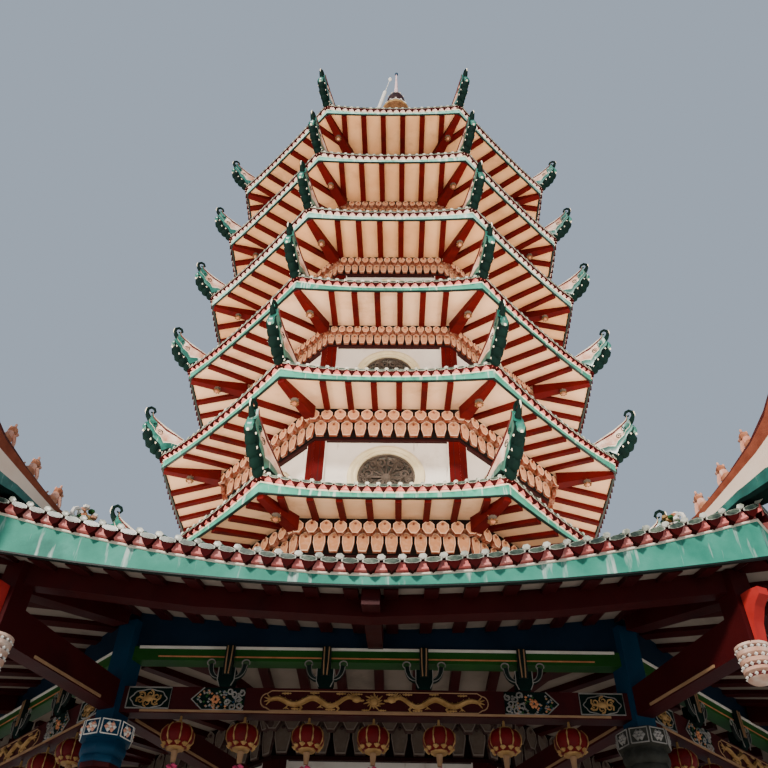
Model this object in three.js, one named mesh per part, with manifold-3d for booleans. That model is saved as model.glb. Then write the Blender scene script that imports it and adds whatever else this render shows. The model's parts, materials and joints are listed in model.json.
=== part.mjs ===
// An octagonal pagoda of seven storeys, modelled at its real size.
// Millimetres, +Z up, the origin on the ground at the tower's axis, the front towards -Y.
import * as THREE from "three";
import { mergeVertices } from "three/addons/utils/BufferGeometryUtils.js";
import Module from "manifold-3d";

const wasm = await Module();
wasm.setup();

// Driving dimensions
const SIDES = 8;
const HALF_CORNER = Math.PI / SIDES; // half the angle that one side spans
const HALF_SIDE = Math.tan(HALF_CORNER); // half a side's length for an apothem of 1
const TO_CORNER = 1 / Math.cos(HALF_CORNER); // corner radius for an apothem of 1
const GAP = 0.3; // between pieces that touch
const TOP_STOREY = 7;

const STOREY_RISE = 3026; // from one tower eave to the next
const FIRST_TOWER_EAVE = 9875; // underside of the second storey's eave board, at mid side
const WALL_APOTHEM = 4040; // outer wall face of the ground storey
const WALL_TAPER = 140; // how much each storey's wall steps in
const WALL_THICKNESS = 220;
const FLOOR_THICKNESS = 160;
const PILASTER_PROUD = 60; // corner columns stand out from the wall face
const PILASTER_WIDTH = 230; // on each of the two faces they cover

const EAVE_APOTHEM = 5505; // of the second storey's eave board
const EAVE_TAPER = 80;
const EAVE_TIP = { bottom: 95, top: 235 }; // how much the corners lift, under and over the eave
const EAVE_HEIGHT = 430; // eave board, tile bed and drip tiles together, at mid side
const SOFFIT_INNER = 320; // soffit at the brackets, above the eave board's underside
const ROOF_MEETS_WALL = 1000; // roof surface at the wall above, over the eave board's underside

const LARGE_BRACKETS = { height: 570, rows: [70, 270] }; // how far each of the two rows stands out
const SMALL_BRACKETS = { height: 440, rows: [60, 210] };

const WINDOW_RING = 0.224; // radius of the moulded ring, as a share of the wall's apothem
const WINDOW_HOLE = 0.76; // radius of the hole, as a share of the ring's
const WINDOW_MARGIN = 130; // from the ring up to the top of the wall
const WINDOW_SIDES = 12;

const PLINTH = { apothem: 8450, height: 600 };
const STEPS = { width: 3200, count: 4, tread: 320 };
const DOOR = { width: 1600, height: 2700 };

const COLUMN_RING = 7600; // apothem of the porch's ring of columns
const SHAFT_RADIUS = 210;
const CAPITAL = { bottom: 4570, band: 4840, top: 5045, radius: 270, bandRadius: 308 };
const FRIEZE = { bottom: 5170, top: 5485, thickness: 200 };
const GREEN_BEAM = { bottom: 5820, top: 5995, thickness: 200 };
const PLATE = { top: 6270, thickness: 180, lift: 0.53 }; // its lift at the corners, as a share of the eave's
const POST_WIDTH = 266;

const PORCH_EAVE = { apothem: 9980, bottom: 5595, height: 330 };
const PORCH_TIP = { bottom: 390, top: 720 };
const PORCH_CEILING = 6600;
const PORCH_ROOF_TOP = 7700; // where the porch roof meets the tower
const PURLIN = { apothem: 9410, width: 180, bottom: 5507, height: 280 };
const CORNER_POST = { radius: 10200, width: 250, bottom: 5250 };
const HIP_BEAM = { bottom: 5200, height: 380, width: 220 };
const MID_BEAM = { width: 190, drop: 125 }; // how far its outer end hangs below the eave board
const TIE_BEAM = { width: 200, height: 300 };

const TOP_ROOF_APEX = { apothem: 900, height: 6100 }; // above its own eave

const INK = {
  plaster: 0xefe7dc,
  red: 0x6d1216,
  tile: 0x2f6f5c,
  board: 0x4f9c83,
  bracket: 0xcf9a78,
  blue: 0x123a5e,
  gold: 0xb8892f,
  stone: 0xa9a39a,
};

function paint(colour, roughness = 0.6, metalness = 0) {
  return new THREE.MeshStandardMaterial({ color: colour, roughness, metalness });
}

// Geometry to solid and back

function toSolid(geometry) {
  const plain = geometry.index ? geometry.toNonIndexed() : geometry.clone();
  for (const name of Object.keys(plain.attributes)) {
    if (name !== "position") plain.deleteAttribute(name);
  }
  const merged = mergeVertices(plain, 1e-2);
  const triVerts = new Uint32Array(merged.index.array).slice();
  const kept = [];
  for (let i = 0; i < triVerts.length; i += 3) {
    const [a, b, c] = triVerts.subarray(i, i + 3);
    if (a !== b && b !== c && a !== c) kept.push(a, b, c);
  }
  const build = (order) =>
    new wasm.Manifold(
      new wasm.Mesh({
        numProp: 3,
        vertProperties: new Float32Array(merged.attributes.position.array),
        triVerts: new Uint32Array(order),
      }),
    );
  const made = build(kept);
  if (made.volume() > 0) return made;
  for (let i = 0; i < kept.length; i += 3) {
    [kept[i + 1], kept[i + 2]] = [kept[i + 2], kept[i + 1]];
  }
  return build(kept);
}

function toGeometry(solid) {
  const mesh = solid.getMesh();
  const step = mesh.numProp;
  const position = new Float32Array(mesh.numVert * 3);
  for (let i = 0; i < mesh.numVert; i++) {
    position.set(mesh.vertProperties.subarray(i * step, i * step + 3), i * 3);
  }
  const geometry = new THREE.BufferGeometry();
  geometry.setAttribute("position", new THREE.BufferAttribute(position, 3));
  geometry.setIndex(new THREE.BufferAttribute(mesh.triVerts, 1));
  return geometry;
}

function join(solids) {
  return solids.reduce((all, next) => all.add(next));
}

const pagoda = new THREE.Group();

function place(name, solid, material) {
  const mesh = new THREE.Mesh(toGeometry(solid), material);
  mesh.name = name;
  pagoda.add(mesh);
}

// Shapes that follow the octagon

// How far along its side a direction lies: 0 at mid side, 1 at a corner.
function alongSide(angle) {
  const turn = 2 * HALF_CORNER;
  const fromMiddle = angle - Math.round(angle / turn) * turn;
  return { share: Math.abs(Math.tan(fromMiddle)) / HALF_SIDE, fromMiddle };
}

// A closed profile of [apothem, height, lift at the corners] points, carried round the octagon.
function octagonRing(profile, { perSide = 1, curve = 2 } = {}) {
  const points = profile.map(([apothem, height]) => new THREE.Vector2(apothem, height));
  points.push(points[0].clone());
  const lifts = [...profile, profile[0]].map((point) => point[2] ?? 0);
  const segments = SIDES * perSide;
  const start = perSide % 2 ? HALF_CORNER : 0;
  const lathe = new THREE.LatheGeometry(points, segments, start);
  const position = lathe.attributes.position;
  for (let i = 0; i < position.count; i++) {
    const angle = start + (Math.floor(i / points.length) * 2 * Math.PI) / segments;
    const { share, fromMiddle } = alongSide(angle);
    const stretch = 1 / Math.cos(fromMiddle);
    position.setXYZ(
      i,
      position.getX(i) * stretch,
      position.getY(i) + lifts[i % points.length] * share ** curve,
      position.getZ(i) * stretch,
    );
  }
  lathe.rotateX(Math.PI / 2);
  return toSolid(lathe);
}

// A solid octagonal block.
function octagonBlock(apothem, bottom, top) {
  const radius = apothem * TO_CORNER;
  const block = new THREE.CylinderGeometry(radius, radius, top - bottom, SIDES, 1, false, HALF_CORNER);
  block.rotateX(Math.PI / 2);
  block.translate(0, 0, (bottom + top) / 2);
  return toSolid(block);
}

function box(width, depth, height, x, y, z) {
  const made = new THREE.BoxGeometry(width, depth, height);
  made.translate(x, y, z);
  return made;
}

// An outline of [radius, height] points in the vertical plane through the axis, facing the front,
// given its width, and turned to the direction asked for.
function fin(outline, width, turn) {
  const shape = new THREE.Shape(outline.map(([radius, height]) => new THREE.Vector2(radius, height)));
  const made = new THREE.ExtrudeGeometry(shape, { depth: width, bevelEnabled: false });
  made.translate(0, 0, -width / 2);
  made.rotateX(Math.PI / 2); // the outline's height becomes Z and its radius stays X
  made.rotateZ(-Math.PI / 2 + turn);
  return toSolid(made);
}

const sideTurns = Array.from({ length: SIDES }, (_, i) => i * 2 * HALF_CORNER);
const cornerTurns = sideTurns.map((turn) => turn + HALF_CORNER);

// Sizes of each storey

const wallApothem = (storey) => WALL_APOTHEM - WALL_TAPER * (storey - 1);
const eaveBottom = (storey) => FIRST_TOWER_EAVE + STOREY_RISE * (storey - 2);
const eaveApothem = (storey) => EAVE_APOTHEM - EAVE_TAPER * (storey - 2);
const brackets = (storey) => (storey <= 3 ? LARGE_BRACKETS : SMALL_BRACKETS);
const bracketTop = (storey) => (storey === 1 ? PORCH_CEILING : eaveBottom(storey) + SOFFIT_INNER);
const bracketBottom = (storey) =>
  storey === 1 ? PORCH_CEILING - 710 : bracketTop(storey) - brackets(storey).height;
const floorBottom = (storey) => bracketTop(storey - 1) + GAP;
const roofTop = (storey) => (storey === 1 ? PORCH_ROOF_TOP : eaveBottom(storey) + ROOF_MEETS_WALL);

// Pieces

function windowHole(storey) {
  const ring = WINDOW_RING * wallApothem(storey);
  const radius = ring * WINDOW_HOLE;
  const centre = bracketBottom(storey) - WINDOW_MARGIN - ring;
  const hole = new THREE.CylinderGeometry(radius, radius, 3 * WALL_THICKNESS, WINDOW_SIDES);
  hole.translate(0, -wallApothem(storey), centre);
  return hole;
}

function pilasters(storey, bottom, top) {
  const ring = octagonRing([
    [wallApothem(storey) - WALL_THICKNESS / 2, bottom],
    [wallApothem(storey) + PILASTER_PROUD, bottom],
    [wallApothem(storey) + PILASTER_PROUD, top],
    [wallApothem(storey) - WALL_THICKNESS / 2, top],
  ]);
  const face = 2 * HALF_SIDE * wallApothem(storey);
  const between = box(
    face - 2 * PILASTER_WIDTH,
    4 * WALL_THICKNESS,
    2 * (top - bottom),
    0,
    -wallApothem(storey),
    (bottom + top) / 2,
  );
  return sideTurns.reduce(
    (left, turn) => left.subtract(toSolid(between.clone().rotateZ(turn))),
    ring,
  );
}

function storeyWalls(storey) {
  const outer = wallApothem(storey);
  const bottom = floorBottom(storey);
  const top = bracketBottom(storey) - GAP;
  const shell = octagonBlock(outer, bottom, top).subtract(
    octagonBlock(outer - WALL_THICKNESS, bottom + FLOOR_THICKNESS, top + WALL_THICKNESS),
  );
  const holes = sideTurns.map((turn) => toSolid(windowHole(storey).rotateZ(turn)));
  const posts = pilasters(storey, roofTop(storey - 1) + COLLAR.height + GAP, top);
  return holes.reduce((left, hole) => left.subtract(hole), shell.add(posts));
}

function bracketBand(storey) {
  const outer = wallApothem(storey);
  const bottom = bracketBottom(storey);
  const top = bracketTop(storey);
  const middle = (bottom + top) / 2;
  const [lower, upper] = brackets(storey).rows;
  return octagonRing([
    [outer - WALL_THICKNESS, bottom],
    [outer + lower, bottom],
    [outer + lower, middle],
    [outer + upper, middle],
    [outer + upper, top],
    [outer - WALL_THICKNESS, top],
  ]);
}

// Points of a tiled surface from the eave up to the wall, as apothem, height and lift at the corner.
function towerSlope(storey) {
  const eave = eaveApothem(storey);
  const inner = wallApothem(storey + 1) + GAP;
  const start = eaveBottom(storey) + EAVE_HEIGHT;
  return [
    [eave, start, EAVE_TIP.top],
    [eave - 0.45 * (eave - inner), start + 180, 0.3 * EAVE_TIP.top],
    [inner, roofTop(storey), 0],
  ];
}

function topSlope() {
  const eave = eaveApothem(TOP_STOREY);
  const start = eaveBottom(TOP_STOREY) + EAVE_HEIGHT;
  const rise = TOP_ROOF_APEX.height - EAVE_HEIGHT;
  return [
    [eave, start, EAVE_TIP.top],
    [0.78 * eave, start + 0.1 * rise, 0.3 * EAVE_TIP.top],
    [0.55 * eave, start + 0.28 * rise, 0],
    [0.36 * eave, start + 0.52 * rise, 0],
    [0.24 * eave, start + 0.78 * rise, 0],
    [TOP_ROOF_APEX.apothem, start + rise, 0],
  ];
}

function porchSlope() {
  const { apothem: eave, bottom, height } = PORCH_EAVE;
  const start = bottom + height;
  const run = eave - wallApothem(2) - GAP;
  const rise = PORCH_ROOF_TOP - start;
  return [
    [eave, start, PORCH_TIP.top],
    [eave - 0.2 * run, start + 0.14 * rise, 0.62 * PORCH_TIP.top],
    [eave - 0.45 * run, start + 0.36 * rise, 0.24 * PORCH_TIP.top],
    [eave - 0.75 * run, start + 0.69 * rise, 0.04 * PORCH_TIP.top],
    [eave - run, PORCH_ROOF_TOP, 0],
  ];
}

// The tiled roof over a tower storey, with its eave board, open in the middle for the wall above.
function towerRoof(storey) {
  const eave = eaveApothem(storey);
  const bottom = eaveBottom(storey);
  const inner = wallApothem(storey + 1) + GAP;
  const bearing = bracketTop(storey) + GAP;
  const seat = wallApothem(storey) + brackets(storey).rows[1];
  const { bottom: under, top: over } = EAVE_TIP;
  return octagonRing(
    [
      [inner, bearing],
      [seat, bearing],
      [eave - 90, bottom + 40, under],
      [eave - 60, bottom, under],
      [eave, bottom, under],
      [eave, bottom + EAVE_HEIGHT, over],
      ...towerSlope(storey).slice(1),
    ],
    { perSide: 4, curve: 2.4 },
  );
}

// The roof over the last storey, hollow underneath, which rises to the finial.
function topRoof() {
  const storey = TOP_STOREY;
  const eave = eaveApothem(storey);
  const bottom = eaveBottom(storey);
  const bearing = bracketTop(storey) + GAP;
  const seat = wallApothem(storey) + brackets(storey).rows[1];
  const room = wallApothem(storey) - WALL_THICKNESS;
  const { bottom: under, top: over } = EAVE_TIP;
  const apex = bottom + TOP_ROOF_APEX.height;
  const slope = topSlope();
  const inside = slope
    .slice(2, -1)
    .reverse()
    .map(([apothem, height]) => [apothem - 190, height - 160]);
  const ring = octagonRing(
    [
      [room, bearing],
      [seat, bearing],
      [eave - 90, bottom + 40, under],
      [eave - 60, bottom, under],
      [eave, bottom, under],
      [eave, bottom + EAVE_HEIGHT, over],
      ...slope.slice(1),
      [TOP_ROOF_APEX.apothem - 250, apex],
      [TOP_ROOF_APEX.apothem - 250, apex - 200],
      ...inside,
    ],
    { perSide: 4, curve: 2.4 },
  );
  return ring.add(octagonBlock(TOP_ROOF_APEX.apothem - 200, apex - 160, apex));
}

function porchRoof() {
  const { apothem: eave, bottom } = PORCH_EAVE;
  const under = PORCH_TIP.bottom;
  const inner = wallApothem(2) + GAP;
  const ceiling = PORCH_CEILING + GAP;
  return octagonRing(
    [
      [inner, ceiling],
      [COLUMN_RING - 400, ceiling],
      [COLUMN_RING + PLATE.thickness / 2, PLATE.top + GAP, PLATE.lift * under],
      [eave - 130, bottom + 60, under],
      [eave - 90, bottom, under],
      [eave, bottom, under],
      ...porchSlope(),
    ],
    { perSide: 4, curve: 1.75 },
  );
}

// Hip ridges

const COLLAR = { height: 180, width: 140 }; // the ridge that runs round the foot of the wall above

// The outline of one hip ridge: its foot follows the hip of the roof, and its end rises past the corner.
// reach is how far past the corner the raised end starts.
function ridgeOutline({ slope, height, reach, scale }) {
  const hip = slope.map(([apothem, level, lift]) => [apothem * TO_CORNER, level + lift + GAP]);
  const [corner, base] = hip[0];
  const at = (out, up) => [corner + reach + out * scale, base + up * scale];
  const raisedEnd = [
    at(40, 30),
    at(170, 300),
    at(360, 430),
    at(350, 580),
    at(600, 740),
    at(590, 900),
    at(720, 1060),
    at(680, 1210),
    at(570, 1150),
    at(540, 990),
    at(-318, 400),
  ];
  const crest = hip.slice(1, -1).map(([radius, level]) => [radius, level + height]);
  const [foot, top] = hip[hip.length - 1];
  const clear = foot + 1.5 * PILASTER_PROUD; // outside the wall's corner column
  const upper = [[clear, top + height], [clear, top + COLLAR.height], [foot, top + COLLAR.height]];
  return [...hip.slice().reverse(), ...raisedEnd, ...crest, ...upper];
}

function hipRidges({ slope, height, reach, scale, width, inset = 0 }) {
  const [inner, top] = slope[slope.length - 1];
  const ridges = cornerTurns.map((turn) =>
    fin(ridgeOutline({ slope, height, reach, scale }), width, turn),
  );
  const ring = octagonRing([
    [inner - inset, top + GAP],
    [inner + COLLAR.width, top + GAP],
    [inner + COLLAR.width, top + COLLAR.height],
    [inner - inset, top + COLLAR.height],
  ]);
  return join([ring, ...ridges]);
}

// Ground storey

function plinth() {
  return octagonBlock(PLINTH.apothem, 0, PLINTH.height);
}

function frontSteps() {
  const riser = PLINTH.height / STEPS.count;
  const outline = [[PLINTH.apothem + GAP, 0]];
  for (let i = 0; i < STEPS.count - 1; i++) {
    const out = PLINTH.apothem + GAP + (STEPS.count - 1 - i) * STEPS.tread;
    outline.push([out, i * riser], [out, (i + 1) * riser]);
  }
  outline.push([PLINTH.apothem + GAP, (STEPS.count - 1) * riser]);
  return fin(outline, STEPS.width, 0);
}

function groundWalls() {
  const bottom = PLINTH.height + GAP;
  const top = bracketBottom(1) - GAP;
  const outer = wallApothem(1);
  const ring = octagonRing([
    [outer - WALL_THICKNESS, bottom],
    [outer, bottom],
    [outer, top],
    [outer - WALL_THICKNESS, top],
  ]);
  const doorway = toSolid(
    box(DOOR.width, 4 * WALL_THICKNESS, 2 * (top - bottom), 0, -outer, (top + bottom) / 2),
  );
  return ring.add(pilasters(1, bottom, top)).subtract(doorway);
}

function doorHead() {
  const bottom = PLINTH.height + DOOR.height;
  const top = bracketBottom(1) - GAP;
  const width = DOOR.width - 2 * GAP;
  return toSolid(
    box(
      width,
      WALL_THICKNESS,
      top - bottom,
      0,
      -(wallApothem(1) - WALL_THICKNESS / 2),
      (top + bottom) / 2,
    ),
  );
}

function porchColumn(turn) {
  const profile = [
    [0, PLINTH.height + GAP],
    [330, PLINTH.height + GAP],
    [330, PLINTH.height + 180],
    [250, PLINTH.height + 330],
    [SHAFT_RADIUS, PLINTH.height + 380],
    [SHAFT_RADIUS, CAPITAL.bottom - 60],
    [CAPITAL.radius - 20, CAPITAL.bottom],
    [CAPITAL.radius, CAPITAL.bottom + 150],
    [CAPITAL.radius - 30, CAPITAL.band],
    [CAPITAL.bandRadius, CAPITAL.band],
    [CAPITAL.bandRadius, CAPITAL.top],
    [POST_WIDTH / 2, CAPITAL.top],
    [POST_WIDTH / 2, FRIEZE.bottom],
    [0, FRIEZE.bottom],
  ].map(([radius, height]) => new THREE.Vector2(radius, height));
  const column = new THREE.LatheGeometry(profile, 8);
  column.rotateX(Math.PI / 2);
  column.rotateZ(HALF_CORNER);
  column.translate(0, -COLUMN_RING * TO_CORNER, 0);
  column.rotateZ(turn);
  return toSolid(column);
}

// Square posts that stand at the octagon's corners.
function cornerPosts(radius, width, bottom, top) {
  return cornerTurns.map((turn) =>
    toSolid(box(width, width, top - bottom, 0, -radius, (bottom + top) / 2).rotateZ(turn)),
  );
}

function porchLowerBeams() {
  const bottom = FRIEZE.bottom + GAP;
  const half = FRIEZE.thickness / 2;
  const frieze = octagonRing([
    [COLUMN_RING - half, bottom],
    [COLUMN_RING + half, bottom],
    [COLUMN_RING + half, FRIEZE.top],
    [COLUMN_RING - half, FRIEZE.top],
  ]);
  const inner = (wallApothem(1) + PILASTER_PROUD) * TO_CORNER + GAP;
  const outer = COLUMN_RING * TO_CORNER;
  const ties = cornerTurns.map((turn) =>
    fin(
      [
        [inner, bottom],
        [outer, bottom],
        [outer, bottom + TIE_BEAM.height],
        [inner, bottom + TIE_BEAM.height],
      ],
      TIE_BEAM.width,
      turn,
    ),
  );
  const posts = cornerPosts(outer, POST_WIDTH, bottom, FRIEZE.top);
  return join([frieze, ...ties, ...posts]);
}

function porchUpperBeams(roof) {
  const half = GREEN_BEAM.thickness / 2;
  const plateHalf = PLATE.thickness / 2;
  const lift = PORCH_TIP.bottom * PLATE.lift;
  const ring = octagonRing(
    [
      [COLUMN_RING - half, GREEN_BEAM.bottom],
      [COLUMN_RING + half, GREEN_BEAM.bottom],
      [COLUMN_RING + half, GREEN_BEAM.top],
      [COLUMN_RING + plateHalf, GREEN_BEAM.top],
      [COLUMN_RING + plateHalf, PLATE.top, lift],
      [COLUMN_RING - plateHalf, PLATE.top + 110, 0.6 * lift],
      [COLUMN_RING - plateHalf, GREEN_BEAM.top],
      [COLUMN_RING - half, GREEN_BEAM.top],
    ],
    { perSide: 4, curve: 1.75 },
  );
  const posts = cornerPosts(
    COLUMN_RING * TO_CORNER,
    POST_WIDTH,
    FRIEZE.top + GAP,
    GREEN_BEAM.top,
  );
  return join([ring, ...posts]).subtract(roof.translate([0, 0, -GAP]));
}

function porchEaveFrame(roof) {
  const { apothem, width, height } = PURLIN;
  const lift = PORCH_TIP.bottom * 0.9;
  const under = PURLIN.bottom;
  const purlin = octagonRing(
    [
      [apothem - width / 2, under, lift],
      [apothem + width / 2, under, lift],
      [apothem + width / 2, under + height + 120, lift],
      [apothem - width / 2, under + height + 120, lift],
    ],
    { perSide: 4, curve: 1.75 },
  );
  const face = COLUMN_RING + GREEN_BEAM.thickness / 2 + GAP;
  const midBeams = sideTurns.map((turn) =>
    fin(
      [
        [face, GREEN_BEAM.top],
        [PORCH_EAVE.apothem - 140, PORCH_EAVE.bottom - MID_BEAM.drop],
        [PORCH_EAVE.apothem - 140, PORCH_EAVE.bottom + 300],
        [face, PLATE.top + 300],
      ],
      MID_BEAM.width,
      turn,
    ),
  );
  const column = COLUMN_RING * TO_CORNER + POST_WIDTH / 2 + GAP;
  const hipBeams = cornerTurns.map((turn) =>
    fin(
      [
        [column, HIP_BEAM.bottom],
        [CORNER_POST.radius, HIP_BEAM.bottom],
        [CORNER_POST.radius, HIP_BEAM.bottom + HIP_BEAM.height + 40],
        [column, HIP_BEAM.bottom + HIP_BEAM.height - 50],
      ],
      HIP_BEAM.width,
      turn,
    ),
  );
  const hipRafters = cornerTurns.map((turn) =>
    fin(
      [
        [column + 120, PLATE.top - 60],
        [CORNER_POST.radius, PORCH_EAVE.bottom + 180],
        [CORNER_POST.radius, PORCH_EAVE.bottom + 900],
        [column + 120, PLATE.top + 700],
      ],
      HIP_BEAM.width,
      turn,
    ),
  );
  const posts = cornerPosts(
    CORNER_POST.radius,
    CORNER_POST.width,
    CORNER_POST.bottom,
    PORCH_EAVE.bottom + 700,
  );
  const whole = join([purlin, ...midBeams, ...hipBeams, ...hipRafters, ...posts]);
  const above = octagonBlock(PORCH_EAVE.apothem + 2000, PLATE.top + 700, PLATE.top + 3000);
  const cut = whole.subtract(roof.translate([0, 0, -GAP])).subtract(above);
  const bodies = cut.decompose();
  return bodies.reduce((most, body) => (body.volume() > most.volume() ? body : most));
}

// Finial

function finial() {
  const base = eaveBottom(TOP_STOREY) + TOP_ROOF_APEX.height + GAP;
  const profile = [
    [0, 0],
    [860, 0],
    [860, 160],
    [640, 300],
    [640, 900],
    [780, 1060],
    [780, 1180],
    [560, 1300],
    [700, 1750],
    [560, 2250],
    [330, 2450],
    [330, 2700],
    [450, 2780],
    [330, 2880],
    [300, 3180],
    [400, 3260],
    [290, 3360],
    [260, 3700],
    [620, 4080],
    [640, 4200],
    [560, 4480],
    [400, 4760],
    [390, 4900],
    [385, 5150],
    [300, 5430],
    [130, 5600],
    [70, 6400],
    [35, 7660],
    [35, 7830],
    [78, 7900],
    [78, 7970],
    [0, 8050],
  ].map(([radius, height]) => new THREE.Vector2(radius, base + height));
  const made = new THREE.LatheGeometry(profile, 12);
  made.rotateX(Math.PI / 2);
  return toSolid(made);
}

// Assembly

const plaster = paint(INK.plaster, 0.85);
const red = paint(INK.red, 0.45);
const tile = paint(INK.tile, 0.35);
const bracketPaint = paint(INK.bracket, 0.7);
const stone = paint(INK.stone, 0.9);

place("plinth", plinth(), stone);
place("front_steps", frontSteps(), stone);
place("ground_walls", groundWalls(), plaster);
place("door_head", doorHead(), plaster);
place("ground_brackets", bracketBand(1), bracketPaint);
cornerTurns.forEach((turn, i) => place(`porch_column_${i + 1}`, porchColumn(turn), red));

const porch = porchRoof();
place("porch_lower_beams", porchLowerBeams(), red);
place("porch_upper_beams", porchUpperBeams(porch), paint(INK.blue, 0.5));
place("porch_eave_frame", porchEaveFrame(porch), red);
place("porch_roof", porch, paint(INK.board, 0.5));
place(
  "porch_ridges",
  hipRidges({ slope: porchSlope(), height: 430, reach: 500, scale: 1.3, width: 260 }),
  tile,
);

for (let storey = 2; storey <= TOP_STOREY; storey++) {
  const last = storey === TOP_STOREY;
  const slope = last ? topSlope() : towerSlope(storey);
  place(`storey_${storey}_walls`, storeyWalls(storey), plaster);
  place(`storey_${storey}_brackets`, bracketBand(storey), bracketPaint);
  place(`storey_${storey}_roof`, last ? topRoof() : towerRoof(storey), paint(INK.board, 0.5));
  place(
    `storey_${storey}_ridges`,
    hipRidges({ slope, height: 360, reach: 0, scale: 1, width: 170, inset: last ? 35 : 0 }),
    tile,
  );
}
place("finial", finial(), paint(INK.gold, 0.35, 0.6));

export default pagoda;
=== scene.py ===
"""Looks of an octagonal pagoda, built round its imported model.

Metres. The ground is z = 0, the tower stands on the Z axis and its front side faces -Y.
A side's own shapes are made for the front side, where x runs along it and -y is its apothem,
and Geometry Nodes carry them round the tower.
"""

import json
import math

import bmesh
import bpy
import numpy as np
from mathutils import Matrix, Vector

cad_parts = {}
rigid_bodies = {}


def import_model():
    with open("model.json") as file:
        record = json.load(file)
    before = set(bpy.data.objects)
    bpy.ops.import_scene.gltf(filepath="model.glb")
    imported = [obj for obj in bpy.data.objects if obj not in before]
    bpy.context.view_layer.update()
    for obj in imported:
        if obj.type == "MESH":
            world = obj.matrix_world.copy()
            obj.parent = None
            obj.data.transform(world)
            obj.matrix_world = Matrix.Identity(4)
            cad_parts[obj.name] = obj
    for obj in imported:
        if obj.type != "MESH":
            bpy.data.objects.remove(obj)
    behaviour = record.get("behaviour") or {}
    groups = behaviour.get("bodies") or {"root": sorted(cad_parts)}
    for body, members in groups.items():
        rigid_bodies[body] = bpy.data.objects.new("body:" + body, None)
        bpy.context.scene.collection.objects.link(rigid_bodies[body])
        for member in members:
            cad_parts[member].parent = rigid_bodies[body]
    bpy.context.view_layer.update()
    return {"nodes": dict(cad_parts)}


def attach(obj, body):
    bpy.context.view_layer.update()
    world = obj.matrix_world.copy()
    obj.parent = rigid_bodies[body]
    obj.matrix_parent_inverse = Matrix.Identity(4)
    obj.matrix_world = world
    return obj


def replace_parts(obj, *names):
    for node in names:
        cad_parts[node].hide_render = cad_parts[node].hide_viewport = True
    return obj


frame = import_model()
scene = bpy.context.scene

# Sizes shared with the model

SIDES = 8
HALF_TURN = math.pi / SIDES  # half the angle that one side spans
HALF_SIDE = math.tan(HALF_TURN)  # half a side's length for an apothem of 1
TO_CORNER = 1 / math.cos(HALF_TURN)
TOP_STOREY = 7
TOWER = range(2, TOP_STOREY + 1)

WALL = {"ground": 4.04, "step": 0.14}  # apothem at the ground, and each storey's step inwards
EAVE = {"bottom": 9.875, "rise": 3.026, "apothem": 5.505, "step": 0.08}  # storey 2's, and the steps up
EAVE_LIFT = {"bottom": 0.095, "top": 0.235, "power": 2.4}  # how far an eave rises at its corners
PORCH = {"eave": 9.98, "bottom": 5.595, "lift": 0.39, "lift_top": 0.72, "power": 1.75}
COLUMN_RING = 7.6
FRIEZE = {"bottom": 5.17, "top": 5.485, "half": 0.1}
GREEN_BEAM = {"bottom": 5.82, "top": 5.995, "half": 0.1}
PLATE = {"top": 6.27, "half": 0.09, "lift": 0.207}
CEILING = 6.6
PLINTH = {"apothem": 8.45, "height": 0.6}


def wall_apothem(storey):
    return WALL["ground"] - WALL["step"] * (storey - 1)


def eave_bottom(storey):
    return EAVE["bottom"] + EAVE["rise"] * (storey - 2)


def eave_apothem(storey):
    return EAVE["apothem"] - EAVE["step"] * (storey - 2)


def bracket_sizes(storey):
    """Height of the band of brackets, how far its two rows stand out, and how many blocks a side has."""
    if storey == 1:
        return {"height": 0.71, "rows": (0.10, 0.30), "counts": (11, 12)}
    if storey == 2:
        return {"height": 0.57, "rows": (0.17, 0.37), "counts": (12, 13)}
    if storey == 3:
        return {"height": 0.57, "rows": (0.17, 0.37), "counts": (11, 12)}
    return {"height": 0.44, "rows": (0.13, 0.30), "counts": (20 - storey, 21 - storey)}


def bracket_top(storey):
    return CEILING if storey == 1 else eave_bottom(storey) + 0.32


def bracket_bottom(storey):
    return bracket_top(storey) - bracket_sizes(storey)["height"]


# Finishes


def clear_nodes(made):
    made.use_nodes = True
    made.node_tree.nodes.clear()
    return made.node_tree


def sheen(roughness):
    """Specular level: smooth paint mirrors the sky, and weathered paint hardly does."""
    if roughness < 0.5:
        return 0.5
    return 0.18 if roughness < 0.7 else 0.08


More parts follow.
